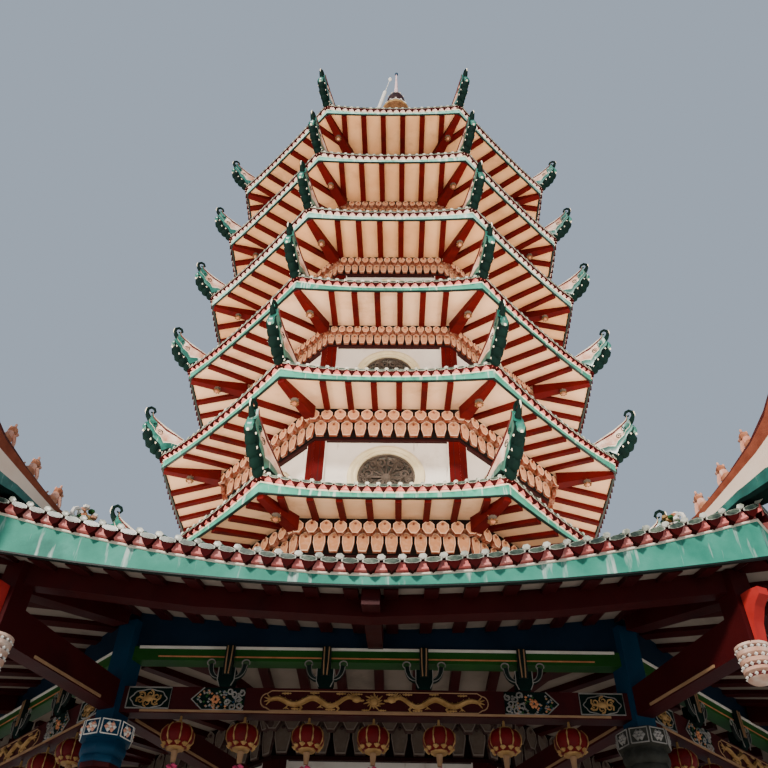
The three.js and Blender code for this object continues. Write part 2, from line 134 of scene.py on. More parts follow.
class Finish:
    """A procedural material under construction, on Object coordinates."""

    def __init__(self, name, roughness, metallic=0.0, coat=0.0):
        self.material = bpy.data.materials.new(name)
        self.tree = clear_nodes(self.material)
        self.shader = self.add("ShaderNodeBsdfPrincipled")
        for label, value in (("Roughness", roughness), ("Metallic", metallic), ("Coat Weight", coat),
                             ("Coat Roughness", 0.2), ("Specular IOR Level", sheen(roughness))):
            self.shader.inputs[label].default_value = value
        output = self.add("ShaderNodeOutputMaterial")
        self.join(self.shader.outputs[0], output.inputs[0])
        self.place = self.add("ShaderNodeTexCoord").outputs["Object"]

    def add(self, kind, **settings):
        made = self.tree.nodes.new(kind)
        for key, value in settings.items():
            setattr(made, key, value)
        return made

    def join(self, source, target):
        self.tree.links.new(source, target)

    def stretched(self, scale):
        mapping = self.add("ShaderNodeMapping")
        mapping.inputs["Scale"].default_value = scale
        self.join(self.place, mapping.inputs["Vector"])
        return mapping.outputs["Vector"]

    def noise(self, scale, detail, stretch=None, roughness=0.55):
        made = self.add("ShaderNodeTexNoise")
        made.inputs["Scale"].default_value = scale
        made.inputs["Detail"].default_value = detail
        made.inputs["Roughness"].default_value = roughness
        self.join(self.stretched(stretch) if stretch else self.place, made.inputs["Vector"])
        return made.outputs["Fac"]

    def ramp(self, factor, stops):
        made = self.add("ShaderNodeValToRGB")
        elements = made.color_ramp.elements
        while len(elements) < len(stops):
            elements.new(0.5)
        for element, (position, colour) in zip(elements, stops):
            element.position = position
            element.color = (*colour, 1.0)
        self.join(factor, made.inputs["Fac"])
        return made.outputs["Color"]

    def mask(self, factor, low, high):
        made = self.add("ShaderNodeMapRange", clamp=True)
        for label, value in zip(("From Min", "From Max"), (low, high)):
            made.inputs[label].default_value = value
        self.join(factor, made.inputs["Value"])
        return made.outputs["Result"]

    def mix(self, factor, below, above):
        made = self.add("ShaderNodeMix", data_type="RGBA")
        for label, value in (("Factor_Float", factor), ("A_Color", below), ("B_Color", above)):
            socket = next(s for s in made.inputs if s.identifier == label)
            if isinstance(value, bpy.types.NodeSocket):
                self.join(value, socket)
            elif isinstance(value, tuple):
                socket.default_value = (*value, 1.0)
            else:
                socket.default_value = value
        return next(s for s in made.outputs if s.identifier == "Result_Color")

    def math(self, operation, *values):
        made = self.add("ShaderNodeMath", operation=operation)
        for socket, value in zip(made.inputs, values):
            if isinstance(value, bpy.types.NodeSocket):
                self.join(value, socket)
            else:
                socket.default_value = value
        return made.outputs[0]

    def attribute(self, name):
        return self.add("ShaderNodeAttribute", attribute_name=name).outputs["Fac"]

    def bump(self, height, distance, strength):
        made = self.add("ShaderNodeBump")
        made.inputs["Distance"].default_value = distance
        made.inputs["Strength"].default_value = strength
        self.join(height, made.inputs["Height"])
        self.join(made.outputs["Normal"], self.shader.inputs["Normal"])

    def colour(self, source):
        self.join(source, self.shader.inputs["Base Color"])

    def gloss(self, factor, low, high):
        made = self.add("ShaderNodeMapRange")
        made.inputs["To Min"].default_value = low
        made.inputs["To Max"].default_value = high
        self.join(factor, made.inputs["Value"])
        self.join(made.outputs["Result"], self.shader.inputs["Roughness"])


VERTICAL = (1.0, 1.0, 0.12)  # stretches a pattern up and down
PATCH_SCALE, STREAK_SCALE, GRAIN_SCALE = 1.1, 9.0, 38.0


def painted(name, shades, roughness, grain=2.2, streak=None, dirt=None, coat=0.0, metallic=0.0):
    """Paint in a few close shades, with rain streaks and patches of dirt where they are given."""
    made = Finish(name, roughness, metallic, coat)
    cloud = made.noise(grain, 6.0)
    steps = np.linspace(0.32, 0.68, len(shades))
    colour = made.ramp(cloud, [(float(s), c) for s, c in zip(steps, shades)])
    if dirt:
        tone, amount = dirt
        patches = made.mask(made.noise(PATCH_SCALE, 8.0, roughness=0.65), 0.62 - 0.25 * amount, 0.72)
        colour = made.mix(made.math("MULTIPLY", patches, 0.75), colour, tone)
    if streak:
        tone, amount = streak
        runs = made.noise(STREAK_SCALE, 4.0, stretch=VERTICAL)
        lines = made.mask(runs, 0.66 - 0.18 * amount, 0.70)
        colour = made.mix(made.math("MULTIPLY", lines, 0.85), colour, tone)
    made.colour(colour)
    made.bump(made.noise(GRAIN_SCALE, 3.0), 0.004, 0.35)
    made.gloss(cloud, max(0.05, roughness - 0.08), min(1.0, roughness + 0.12))
    return made.material


def bracket_finish(name, middle, shade, rim):
    """Limewashed blocks: a pale rim and a warm middle, with painted shade on their sides and under the
    point at the top.
    """
    made = Finish(name, 0.8)
    tone = made.attribute("shade")
    cloud = made.math("MULTIPLY_ADD", made.noise(3.0, 5.0), 0.5, -0.25)
    # the darkest stop is the colour of the painted shade
    stops = [(0.0, shade), (0.38, middle), (0.72, middle), (0.92, rim)]
    colour = made.ramp(made.math("ADD", tone, cloud), stops)
    dusty = made.mask(made.noise(14.0, 6.0), 0.45, 0.75)
    made.colour(made.mix(made.math("MULTIPLY", dusty, 0.35), colour, rim))
    made.bump(made.noise(45.0, 3.0), 0.003, 0.4)
    return made.material


def tile_finish(name, glaze, pale, dark, roughness):
    """Glaze worn pale and dark in spots."""
    made = Finish(name, roughness, coat=0.15)
    worn = made.ramp(made.noise(7.0, 7.0, roughness=0.7), [(0.36, dark), (0.5, glaze), (0.66, pale)])
    made.colour(worn)
    made.bump(made.noise(30.0, 4.0), 0.004, 0.4)
    made.gloss(made.noise(5.0, 4.0), 0.25, 0.7)
    return made.material


PAINTS = {
    "board": painted("board_paint", [(0.022, 0.20, 0.14), (0.04, 0.26, 0.185), (0.075, 0.32, 0.24)],
                     0.62, 2.4, streak=((0.50, 0.60, 0.54), 0.4), dirt=((0.02, 0.09, 0.07), 0.3)),
    # A paler copy of the board paint for storeys 5 to 7: painted sun glare, with pale rain streaks
    "high_board": painted("high_board_paint", [(0.11, 0.38, 0.30), (0.20, 0.49, 0.41), (0.40, 0.63, 0.56)],
                          0.62, 2.4, streak=((0.70, 0.76, 0.70), 0.6), dirt=((0.03, 0.12, 0.09), 0.2)),
    "edge": painted("edge_paint", [(0.003, 0.008, 0.007), (0.006, 0.015, 0.012)], 0.5),
    "cream": painted("cream_paint", [(0.72, 0.62, 0.48), (0.84, 0.75, 0.62)], 0.6,
                     dirt=((0.30, 0.22, 0.16), 0.2)),
    "pink": painted("pink_paint", [(0.68, 0.14, 0.125), (0.76, 0.22, 0.195), (0.80, 0.34, 0.30)], 0.75, 3.5,
                    streak=((0.80, 0.58, 0.52), 0.3), dirt=((0.28, 0.06, 0.06), 0.25)),
    # A paler copy of the pink for storeys 5 to 7: painted sun glare
    "high_pink": painted("high_pink_paint", [(0.74, 0.36, 0.33), (0.80, 0.52, 0.48), (0.84, 0.66, 0.61)],
                         0.65, 3.5, streak=((0.84, 0.74, 0.70), 0.3), dirt=((0.40, 0.16, 0.15), 0.2)),
    "soffit": painted("soffit_paint", [(0.80, 0.46, 0.27), (0.85, 0.53, 0.33), (0.88, 0.58, 0.38)],
                      0.85, 1.2, dirt=((0.60, 0.31, 0.17), 0.3)),
    # A darker, deeper copy of the soffit paint for storeys 5 to 7: painted shade
    "high_soffit": painted("high_soffit_paint",
                           [(0.70, 0.345, 0.155), (0.76, 0.395, 0.19), (0.80, 0.445, 0.23)],
                           0.85, 1.2, dirt=((0.52, 0.25, 0.12), 0.3)),
    # A darker copy of the soffit paint for the porch: painted shade under the porch roof
    "porch_soffit": painted("porch_soffit_paint", [(0.23, 0.185, 0.15), (0.31, 0.255, 0.21)], 0.8, 1.5,
                            dirt=((0.13, 0.10, 0.08), 0.3)),
    "red": painted("red_paint", [(0.058, 0.0013, 0.0012), (0.078, 0.0018, 0.0016), (0.098, 0.0028, 0.0024)],
                   0.7, 2.0, dirt=((0.03, 0.001, 0.001), 0.3)),
    # A darker copy of the red for the porch's timbers and columns: painted shade under the porch roof
    "porch_red": painted("porch_red_paint", [(0.030, 0.0010, 0.0015), (0.044, 0.0014, 0.002)], 0.5, 1.6,
                         dirt=((0.015, 0.001, 0.0015), 0.3)),
    "lit_red": painted("lit_red_paint", [(0.34, 0.015, 0.012), (0.46, 0.03, 0.024)], 0.6, 3.0),
    # Deep red of the grooves and finial bands; on the strip under the brackets it is painted shadow
    "groove": painted("groove_paint", [(0.015, 0.001, 0.001), (0.026, 0.0015, 0.0015)], 0.6),
    "plaster": painted("plaster", [(0.70, 0.64, 0.57), (0.77, 0.71, 0.64), (0.81, 0.76, 0.69)], 0.85, 1.0,
                       streak=((0.52, 0.45, 0.39), 0.2), dirt=((0.52, 0.43, 0.36), 0.25)),
    "ring": painted("window_ring_paint", [(0.66, 0.55, 0.33), (0.76, 0.66, 0.43)], 0.75, 3.0,
                    dirt=((0.42, 0.33, 0.20), 0.25)),
    "grille": painted("grille_clay", [(0.060, 0.045, 0.036), (0.11, 0.085, 0.068)], 0.8, 5.0),
    # Near black: painted shadow on the backing between and above the bracket blocks
    "dark": painted("dark_gap", [(0.006, 0.004, 0.004), (0.010, 0.007, 0.006)], 0.9),
    "under_tile": painted("under_tile_paint", [(0.024, 0.0006, 0.0008), (0.046, 0.0011, 0.0014)], 0.8, 4.0),
    "blue": painted("blue_paint", [(0.0015, 0.026, 0.058), (0.0022, 0.038, 0.078)], 0.6, 2.0),
    "deep_blue": painted("deep_blue_paint", [(0.0015, 0.011, 0.026), (0.003, 0.018, 0.040)], 0.6, 2.0),
    "green": painted("green_paint", [(0.008, 0.055, 0.007), (0.013, 0.08, 0.011)], 0.5, 2.0),
    "tan": painted("tan_paint", [(0.27, 0.15, 0.075), (0.36, 0.21, 0.11)], 0.6, 4.0),
    "gold": painted("gold_paint", [(0.26, 0.135, 0.04), (0.44, 0.26, 0.10)], 0.5, 9.0, metallic=0.15),
    "orange": painted("orange_paint", [(0.46, 0.16, 0.06), (0.62, 0.26, 0.12)], 0.6, 9.0,
                      dirt=((0.20, 0.06, 0.03), 0.4)),
    "white": painted("white_paint", [(0.66, 0.60, 0.52), (0.80, 0.76, 0.69)], 0.55, 3.0,
                     dirt=((0.40, 0.36, 0.30), 0.3)),
    "salmon": painted("salmon_paint", [(0.66, 0.28, 0.18), (0.76, 0.42, 0.30)], 0.65, 3.0,
                      streak=((0.78, 0.62, 0.50), 0.35)),
    "flank": painted("flank_paint", [(0.46, 0.20, 0.12), (0.64, 0.40, 0.30), (0.78, 0.66, 0.56)], 0.7, 2.6,
                     dirt=((0.20, 0.07, 0.04), 0.3)),
    # Ridge glaze. Its pale streaks are partly weathering and partly painted sun glare on the ridges' lit
    # sides
    "teal": painted("ridge_teal", [(0.006, 0.07, 0.05), (0.012, 0.12, 0.09), (0.035, 0.20, 0.15)],
                    0.35, 4.0, streak=((0.50, 0.58, 0.53), 0.25), dirt=((0.004, 0.03, 0.024), 0.35),
                    coat=0.2),
    "dark_teal": painted("dark_teal_glaze", [(0.0008, 0.006, 0.0048), (0.002, 0.013, 0.010)], 0.8, 4.0),
    "clay": painted("clay", [(0.36, 0.12, 0.06), (0.48, 0.19, 0.10), (0.60, 0.33, 0.22)], 0.7, 8.0),
    "maroon": painted("maroon_paint", [(0.055, 0.006, 0.005), (0.085, 0.010, 0.008)], 0.5, 4.0),
    "lantern": painted("lantern_cloth", [(0.085, 0.0012, 0.0018), (0.15, 0.0025, 0.003)], 0.6, 5.0),
    "rose": painted("rose_silk", [(0.55, 0.03, 0.11), (0.70, 0.09, 0.21)], 0.6, 20.0),
    "stone": painted("stone", [(0.17, 0.155, 0.135), (0.26, 0.24, 0.215), (0.34, 0.31, 0.28)], 0.85, 4.0,
                     dirt=((0.08, 0.075, 0.065), 0.45)),
    "grey": painted("weathered_grey", [(0.022, 0.022, 0.017), (0.05, 0.049, 0.040)], 0.8, 6.0,
                    dirt=((0.02, 0.02, 0.016), 0.4)),
    "bronze": painted("bronze_paint", [(0.10, 0.042, 0.016), (0.22, 0.105, 0.045)], 0.7, 9.0),
    "ridge_brown": painted("ridge_brown_paint", [(0.20, 0.045, 0.022), (0.30, 0.078, 0.040)], 0.7, 6.0,
                           dirt=((0.10, 0.025, 0.014), 0.3)),
    "ridge_cream": painted("ridge_cream_paint", [(0.84, 0.61, 0.46), (0.90, 0.70, 0.55)], 0.75, 3.0,
                           dirt=((0.45, 0.30, 0.21), 0.25)),
    "spire": painted("spire_paint", [(0.72, 0.42, 0.42), (0.80, 0.60, 0.60)], 0.5, 4.0),
    "door": painted("door_lacquer", [(0.075, 0.004, 0.004), (0.11, 0.006, 0.005)], 0.35, 3.0, coat=0.15),
    "glaze": tile_finish("drip_glaze", (0.05, 0.075, 0.055), (0.15, 0.18, 0.13), (0.012, 0.022, 0.018),
                         0.6),
    "rim": tile_finish("rim_glaze", (0.46, 0.46, 0.38), (0.66, 0.64, 0.54), (0.14, 0.16, 0.12), 0.6),
    "tile": tile_finish("roof_tile", (0.05, 0.11, 0.085), (0.16, 0.22, 0.18), (0.02, 0.035, 0.03), 0.5),
    "bracket": bracket_finish("bracket_limewash", (0.54, 0.25, 0.125), (0.15, 0.030, 0.012),
                              (0.78, 0.56, 0.42)),
    # A much darker copy of the bracket limewash for the ground storey under the porch: painted shade
    "porch_bracket": bracket_finish("porch_bracket_limewash", (0.15, 0.11, 0.085), (0.06, 0.03, 0.028),
                                    (0.25, 0.20, 0.165)),
}
SLOTS = {  # the record's material slots, and the finishes that each one stands for
    "eave_paint": "board high_board edge cream pink high_pink flank ridge_cream salmon",
    "soffit_paint": "soffit high_soffit porch_soffit",
    "red_paint": "red porch_red lit_red groove maroon door",
    "white_plaster": "plaster ring white",
    "terracotta": "grille clay ridge_brown",
    "glazed_tile": "under_tile teal dark_teal glaze rim tile",
    "gold_paint": "tan gold orange bronze",
    "blue_paint": "blue deep_blue",
    "green_paint": "green",
    "bracket_paint": "dark bracket porch_bracket",
    "lantern_cloth": "lantern rose",
    "finial_paint": "spire",
    "stone": "stone grey",
}
SLOT_OF = {finish: slot for slot, finishes in SLOTS.items() for finish in finishes.split()}

# Shapes


def turns_of(count, shift=0.0):
    """Angles of so many points spread round a circle. The shift is in steps."""
    return [2 * math.pi * (i + shift) / count for i in range(count)]


def around(turn, reach, centre, up=0.0):
    """A point on a level circle about a centre."""
    return centre[0] + reach * math.cos(turn), centre[1] + reach * math.sin(turn), centre[2] + up


class Shape:
    """Closed shells gathered into one mesh. Each face has a finish number, each point a shade."""

    def __init__(self):
        self.points, self.faces, self.finishes, self.shades = [], [], [], []

    def add(self, points, faces, finish=0, shade=0.5):
        start = len(self.points)
        self.points += [tuple(map(float, p)) for p in points]
        self.shades += list(shade) if hasattr(shade, "__len__") else [shade] * len(points)
        self.faces += [tuple(start + i for i in face) for face in faces]
        self.finishes += list(finish) if hasattr(finish, "__len__") else [finish] * len(faces)
        return self

    def loft(self, rings, finish=0, shade=0.5, closed=False):
        """Rings of equally many points, joined one to the next. An open row of rings is capped."""
        count = len(rings[0])
        points = [p for ring in rings for p in ring]
        steps = len(rings) if closed else len(rings) - 1
        faces, finishes = [], []
        for i in range(steps):
            a, b = i * count, ((i + 1) % len(rings)) * count
            for j in range(count):
                k = (j + 1) % count
                faces.append((a + j, a + k, b + k, b + j))
                finishes.append(finish[i] if hasattr(finish, "__len__") else finish)
        if not closed:
            faces += [tuple(reversed(range(count))), tuple(range(len(points) - count, len(points)))]
            finishes += [finishes[0], finishes[-1]]
        return self.add(points, faces, finishes, shade)

    def block(self, low, high, finish=0):
        (x0, y0, z0), (x1, y1, z1) = low, high
        rings = [[(x0, y0, z), (x1, y0, z), (x1, y1, z), (x0, y1, z)] for z in (z0, z1)]
        return self.loft(rings, finish)

    def turned(self, profile, sides, finish=0, centre=(0, 0, 0), along="z", shade=0.5, squash=1.0,
               start=0.0):
        """A profile of (radius, height) points turned about an axis through the centre."""
        rings = []
        for radius, height in profile:
            ring = []
            for i in range(sides):
                angle = start + 2 * math.pi * i / sides
                a, b = radius * math.cos(angle), radius * math.sin(angle) * squash
                spot = (a, b, height) if along == "z" else (a, -height, b)
                ring.append(tuple(c + o for c, o in zip(spot, centre)))
            rings.append(ring)
        return self.loft(rings, finish, shade)

    def slab(self, outline, near, far, finish=0):
        """An outline of (x, z) points given a thickness from y = near to y = far."""
        return self.loft([[(x, y, z) for x, z in outline] for y in (near, far)], finish)

    def tube(self, path, radius, sides=6, finish=0):
        """A rod along a path, of one radius or one for each point."""
        path = [Vector(p) for p in path]
        radii = radius if hasattr(radius, "__len__") else [radius] * len(path)
        rings, normal = [], None
        for i, spot in enumerate(path):
            ahead = path[min(i + 1, len(path) - 1)] - path[max(i - 1, 0)]
            ahead.normalize()
            if normal is None:
                normal = ahead.orthogonal().normalized()
            normal = (normal - ahead * normal.dot(ahead)).normalized()
            other = ahead.cross(normal)
            turns = [2 * math.pi * j / sides for j in range(sides)]
            rings.append([spot + radii[i] * (math.cos(t) * normal + math.sin(t) * other) for t in turns])
        return self.loft(rings, finish)

    def ball(self, centre, radius, finish=0, sides=10, stretch=(1, 1, 1)):
        """A ball, or an egg by its stretch, closed by a small flat face at each pole."""
        steps = sides // 2
        rings = []
        for i in range(steps + 1):
            lean = math.pi * (0.04 + 0.92 * i / steps)
            ring = []
            for j in range(sides):
                turn = 2 * math.pi * j / sides
                spot = (math.sin(lean) * math.cos(turn), math.sin(lean) * math.sin(turn), -math.cos(lean))
                ring.append(tuple(c + radius * s * k for c, s, k in zip(centre, stretch, spot)))
            rings.append(ring)
        return self.loft(rings, finish)

    def mesh(self, name, smooth_below=40.0):
        mesh = bpy.data.meshes.new(name)
        mesh.from_pydata(self.points, [], self.faces)
        mesh.attributes.new("finish", "INT", "FACE").data.foreach_set("value", self.finishes)
        mesh.attributes.new("shade", "FLOAT", "POINT").data.foreach_set("value", self.shades)
        work = bmesh.new()
        work.from_mesh(mesh)
        bmesh.ops.recalc_face_normals(work, faces=work.faces)
        work.to_mesh(mesh)
        work.free()
        mesh.polygons.foreach_set("use_smooth", [True] * len(mesh.polygons))
        mesh.set_sharp_from_angle(angle=math.radians(smooth_below))
        return mesh


def finish_piece(name, mesh, finishes, slot=None):
    """Shows a mesh that already lies in its place, with its faces' finishes as its materials."""
    for finish in finishes:
        mesh.materials.append(PAINTS[finish])
    numbers = [0] * len(mesh.polygons)
    mesh.attributes["finish"].data.foreach_get("value", numbers)
    mesh.polygons.foreach_set("material_index", numbers)
    piece = bpy.data.objects.new(name, mesh)
    scene.collection.objects.link(piece)
    return settle(piece, slot or SLOT_OF[finishes[0]])


def placed(name, shape, finishes, slot=None):
    """One piece: a shape that is made where it stands."""
    return finish_piece(name, shape.mesh(name), finishes, slot)


def settle(piece, slot):
    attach(piece, "root")
    return piece


# Geometry Nodes

FINISHES = 6  # the most finishes in one piece that a tree lays out


class Tree:
    """A Geometry Nodes tree under construction, with named inputs."""

    def __init__(self, name, sockets):
        self.tree = bpy.data.node_groups.new(name, "GeometryNodeTree")
        sides = self.tree.interface
        sides.new_socket("Geometry", in_out="INPUT", socket_type="NodeSocketGeometry")
        self.ids = {}
        for label, kind in sockets.items():
            socket = sides.new_socket(label, in_out="INPUT", socket_type="NodeSocket" + kind)
            self.ids[label] = socket.identifier
        sides.new_socket("Geometry", in_out="OUTPUT", socket_type="NodeSocketGeometry")
        self.given = self.tree.nodes.new("NodeGroupInput").outputs
        self.end = self.tree.nodes.new("NodeGroupOutput")

    def add(self, kind, values=(), **settings):
        made = self.tree.nodes.new(kind)
        for key, value in settings.items():
            setattr(made, key, value)
        for identifier, value in dict(values).items():
            socket = next(s for s in made.inputs if s.identifier == identifier)
            if isinstance(value, bpy.types.NodeSocket):
                self.tree.links.new(value, socket)
            else:
                socket.default_value = value
        return made.outputs

    def math(self, operation, *values):
        labels = ("Value", "Value_001", "Value_002")
        return self.add("ShaderNodeMath", zip(labels, values), operation=operation)[0]

    def point(self, x=0.0, y=0.0, z=0.0):
        return self.add("ShaderNodeCombineXYZ", {"X": x, "Y": y, "Z": z})[0]

    def spot(self):
        position = self.add("GeometryNodeInputPosition")[0]
        return self.add("ShaderNodeSeparateXYZ", {"Vector": position})

    def trimmed(self, geometry, margin):
        """Moves what lies past the hips back to them, less a margin. Under 0, all stays as it is."""
        x, y, z = self.spot()
        hip = self.math("DIVIDE", self.math("ABSOLUTE", x), HALF_SIDE)
        limit = self.math("MULTIPLY", self.math("ADD", hip, margin), -1.0)
        kept = self.math("MINIMUM", y, limit)
        used = self.math("GREATER_THAN", margin, 0.0)
        chosen = self.math("MULTIPLY_ADD", self.math("SUBTRACT", kept, y), used, y)
        moved = {"Geometry": geometry, "Position": self.point(x, chosen, z)}
        return self.add("GeometryNodeSetPosition", moved)[0]

    def lifted(self, geometry):
        """Bends a side's shapes up towards the corners, as its eave is."""
        x, y, _ = self.spot()
        apothem = self.math("MULTIPLY", y, -1.0)
        along = self.math("DIVIDE", self.math("ABSOLUTE", x), self.math("MULTIPLY", apothem, HALF_SIDE))
        rise = self.math("POWER", self.math("MINIMUM", along, 1.1), self.given["Lift power"])
        reach = self.math("SUBTRACT", self.given["Lift to"], self.given["Lift from"])
        out = self.math("DIVIDE", self.math("SUBTRACT", apothem, self.given["Lift from"]), reach)
        kept = self.math("MINIMUM", self.math("MAXIMUM", out, 0.0), 1.1)
        fall = self.math("POWER", kept, self.given["Lift fall"])
        height = self.math("MULTIPLY", self.math("MULTIPLY", rise, fall), self.given["Lift"])
        moved = {"Geometry": geometry, "Offset": self.point(z=height)}
        return self.add("GeometryNodeSetPosition", moved)[0]

    def on_points(self, points, instance, **values):
        values.update({"Points": points, "Instance": instance})
        return self.add("GeometryNodeInstanceOnPoints", values)[0]

    def real(self, geometry):
        return self.add("GeometryNodeRealizeInstances", {"Geometry": geometry})[0]

    def round_the_tower(self, geometry):
        """Copies one side's shapes to the others, and gives each face its finish."""
        sides = self.add("GeometryNodeMeshLine", {"Count": self.given["Sides"], "Offset": (0, 0, 0)})[0]
        number = self.math("ADD", self.add("GeometryNodeInputIndex")[0], self.given["First side"])
        turn = self.point(z=self.math("MULTIPLY", number, 2 * HALF_TURN))
        result = self.real(self.on_points(sides, geometry, Rotation=turn))
        for number in range(FINISHES):
            mark = self.add("GeometryNodeInputNamedAttribute", {"Name": "finish"}, data_type="INT")[0]
            chosen = self.add("FunctionNodeCompare", {"A_INT": mark, "B_INT": number},
                              data_type="INT", operation="EQUAL")[0]
            values = {"Geometry": result, "Selection": chosen, "Material": self.given[f"Finish {number}"]}
            result = self.add("GeometryNodeSetMaterial", values)[0]
        self.tree.links.new(result, self.end.inputs[0])


BEND = dict.fromkeys(("Lift", "Lift power", "Lift from", "Lift to", "Lift fall"), "Float")
ROUND = {"Sides": "Int", "First side": "Float", **{f"Finish {i}": "Material" for i in range(FINISHES)}}


def row_tree():
    """Equal shapes in a row along a side, then round the tower."""
    tree = Tree("row_on_each_side", {
        "Count": "Int", "Spacing": "Float", "Apothem": "Float", "Height": "Float", "Trim": "Float",
        "Wobble": "Float", "Seed": "Int", **BEND, **ROUND})
    given = tree.given
    steps = tree.math("MULTIPLY", tree.math("SUBTRACT", given["Count"], 1.0), -0.5)
    start = tree.point(tree.math("MULTIPLY", steps, given["Spacing"]),
                       tree.math("MULTIPLY", given["Apothem"], -1.0), given["Height"])
    line = tree.add("GeometryNodeMeshLine", {
        "Count": given["Count"], "Start Location": start, "Offset": tree.point(given["Spacing"])})[0]
    wobble = tree.add("FunctionNodeRandomValue", {
        "Min": tree.point(*[tree.math("MULTIPLY", given["Wobble"], -1.0)] * 3),
        "Max": tree.point(*[given["Wobble"]] * 3), "Seed": given["Seed"]}, data_type="FLOAT_VECTOR")[0]
    row = tree.real(tree.on_points(line, given["Geometry"], Rotation=wobble))
    tree.round_the_tower(tree.lifted(tree.trimmed(row, given["Trim"])))
    return tree


def field_tree():
    """Courses of tiles up a side's slope, between its hips, then round the tower."""
    tree = Tree("tiles_up_each_side", {
        "Columns": "Int", "Spacing": "Float", "Courses": "Int", "Eave": "Float", "Wall": "Float",
        "Bed eave": "Float", "Bed wall": "Float", "Height": "Float", "Rise": "Float", "Straight": "Float",
        "Steepness": "Float", "Hip": "Float", **BEND, **ROUND})
    given = tree.given
    width = tree.math("MULTIPLY", tree.math("SUBTRACT", given["Columns"], 1.0), given["Spacing"])
    grid = tree.add("GeometryNodeMeshGrid", {
        "Size X": width, "Size Y": 1.0, "Vertices X": given["Columns"], "Vertices Y": given["Courses"]})[0]
    x, y, _ = tree.spot()
    run = tree.math("SUBTRACT", given["Eave"], given["Wall"])
    apothem = tree.math("SUBTRACT", given["Eave"], tree.math("MULTIPLY", tree.math("ADD", y, 0.5), run))
    bed_run = tree.math("SUBTRACT", given["Bed eave"], given["Bed wall"])
    up = tree.math("DIVIDE", tree.math("SUBTRACT", given["Bed eave"], apothem), bed_run)
    bowed = tree.math("SUBTRACT", 1.0, given["Straight"])
    curve = tree.math("MULTIPLY", bowed, tree.math("POWER", up, given["Steepness"]))
    share = tree.math("MULTIPLY_ADD", given["Straight"], up, curve)
    height = tree.math("MULTIPLY_ADD", share, given["Rise"], given["Height"])
    before = tree.math("POWER", up, tree.math("SUBTRACT", given["Steepness"], 1.0))
    bow_slope = tree.math("MULTIPLY", tree.math("MULTIPLY", bowed, given["Steepness"]), before)
    whole_slope = tree.math("MULTIPLY", tree.math("ADD", given["Straight"], bow_slope), given["Rise"])
    slope = tree.math("DIVIDE", whole_slope, bed_run)
    marked = tree.add("GeometryNodeStoreNamedAttribute", {
        "Geometry": grid, "Name": "lean", "Value": tree.math("ARCTANGENT", slope)},
        data_type="FLOAT", domain="POINT")[0]
    spread = tree.add("GeometryNodeSetPosition", {
        "Geometry": marked, "Position": tree.point(x, tree.math("MULTIPLY", apothem, -1.0), height)})[0]
    px, py, _ = tree.spot()
    hip = tree.math("SUBTRACT", tree.math("MULTIPLY", py, -HALF_SIDE), given["Hip"])
    inside = tree.math("LESS_THAN", tree.math("ABSOLUTE", px), hip)
    lean = tree.add("GeometryNodeInputNamedAttribute", {"Name": "lean"}, data_type="FLOAT")[0]
    longer = tree.point(1.0, tree.math("DIVIDE", 1.0, tree.math("COSINE", lean)), 1.0)
    laid = tree.real(tree.on_points(
        spread, given["Geometry"], Selection=inside, Rotation=tree.point(lean), Scale=longer))
    tree.round_the_tower(tree.lifted(laid))
    return tree


ROWS = row_tree()
FIELDS = field_tree()
LEVEL = {"Lift": 0.0, "Lift power": 2.0, "Lift from": 0.0, "Lift to": 1.0, "Lift fall": 1.0}


def grown(name, mesh, tree, values, finishes, slot=None):
    """Runs a tree on a mesh and keeps the result as a plain mesh in one piece."""
    piece = bpy.data.objects.new(name, mesh)
    scene.collection.objects.link(piece)
    modifier = piece.modifiers.new("layout", "NODES")
    modifier.node_group = tree.tree
    filled = {"Sides": SIDES, "First side": 0.0, **LEVEL, **values}
    for number in range(FINISHES):
        filled[f"Finish {number}"] = PAINTS[finishes[min(number, len(finishes) - 1)]]
    for label, value in filled.items():
        modifier[tree.ids[label]] = value
    graph = bpy.context.evaluated_depsgraph_get()
    result = bpy.data.meshes.new_from_object(
        piece.evaluated_get(graph), preserve_all_data_layers=True, depsgraph=graph)
    piece.modifiers.remove(modifier)
    piece.data = result
    result.name = name
    return settle(piece, slot or SLOT_OF[finishes[0]])


def row(name, shape, finishes, count=1, spacing=0.0, apothem=0.0, height=0.0, trim=-1.0, wobble=0.0,
        seed=3, bend=None, slot=None, **round_values):
    """One piece: a shape in rows on the tower's sides."""
    values = {"Count": count, "Spacing": spacing, "Apothem": apothem, "Height": height, "Trim": trim,
              "Wobble": wobble, "Seed": seed, **(bend or {}), **round_values}
    return grown(name, shape.mesh(name), ROWS, values, finishes, slot)


CORNERS = {"First side": 0.5}  # turns a piece that is made for the front side to the corners


def ringed(profile, per_side, power):
    """A closed profile of (apothem, height, lift, finish) points carried round the tower."""
    shape = Shape()
    rings = []
    for i in range(SIDES * per_side):
        side, step = divmod(i, per_side)
        share = 2 * step / per_side - 1
        turn = 2 * HALF_TURN * side + math.atan(share * HALF_SIDE)
        stretch = math.hypot(1, share * HALF_SIDE)
        rings.append([
            (a * stretch * math.sin(turn), -a * stretch * math.cos(turn), z + lift * abs(share) ** power)
            for a, z, lift, _ in profile
        ])
    shape.loft(rings, closed=True)
    count = len(profile)
    shape.finishes = [profile[j % count][3] for j in range(len(shape.faces))]
    return shape


def ring_piece(name, profile, finishes, per_side=1, power=2.0, slot=None, smooth_below=40.0):
    """One piece: a closed profile carried round the tower."""
    mesh = ringed(profile, per_side, power).mesh(name, smooth_below)
    return finish_piece(name, mesh, finishes, slot)


# Tower: eaves and their tiles

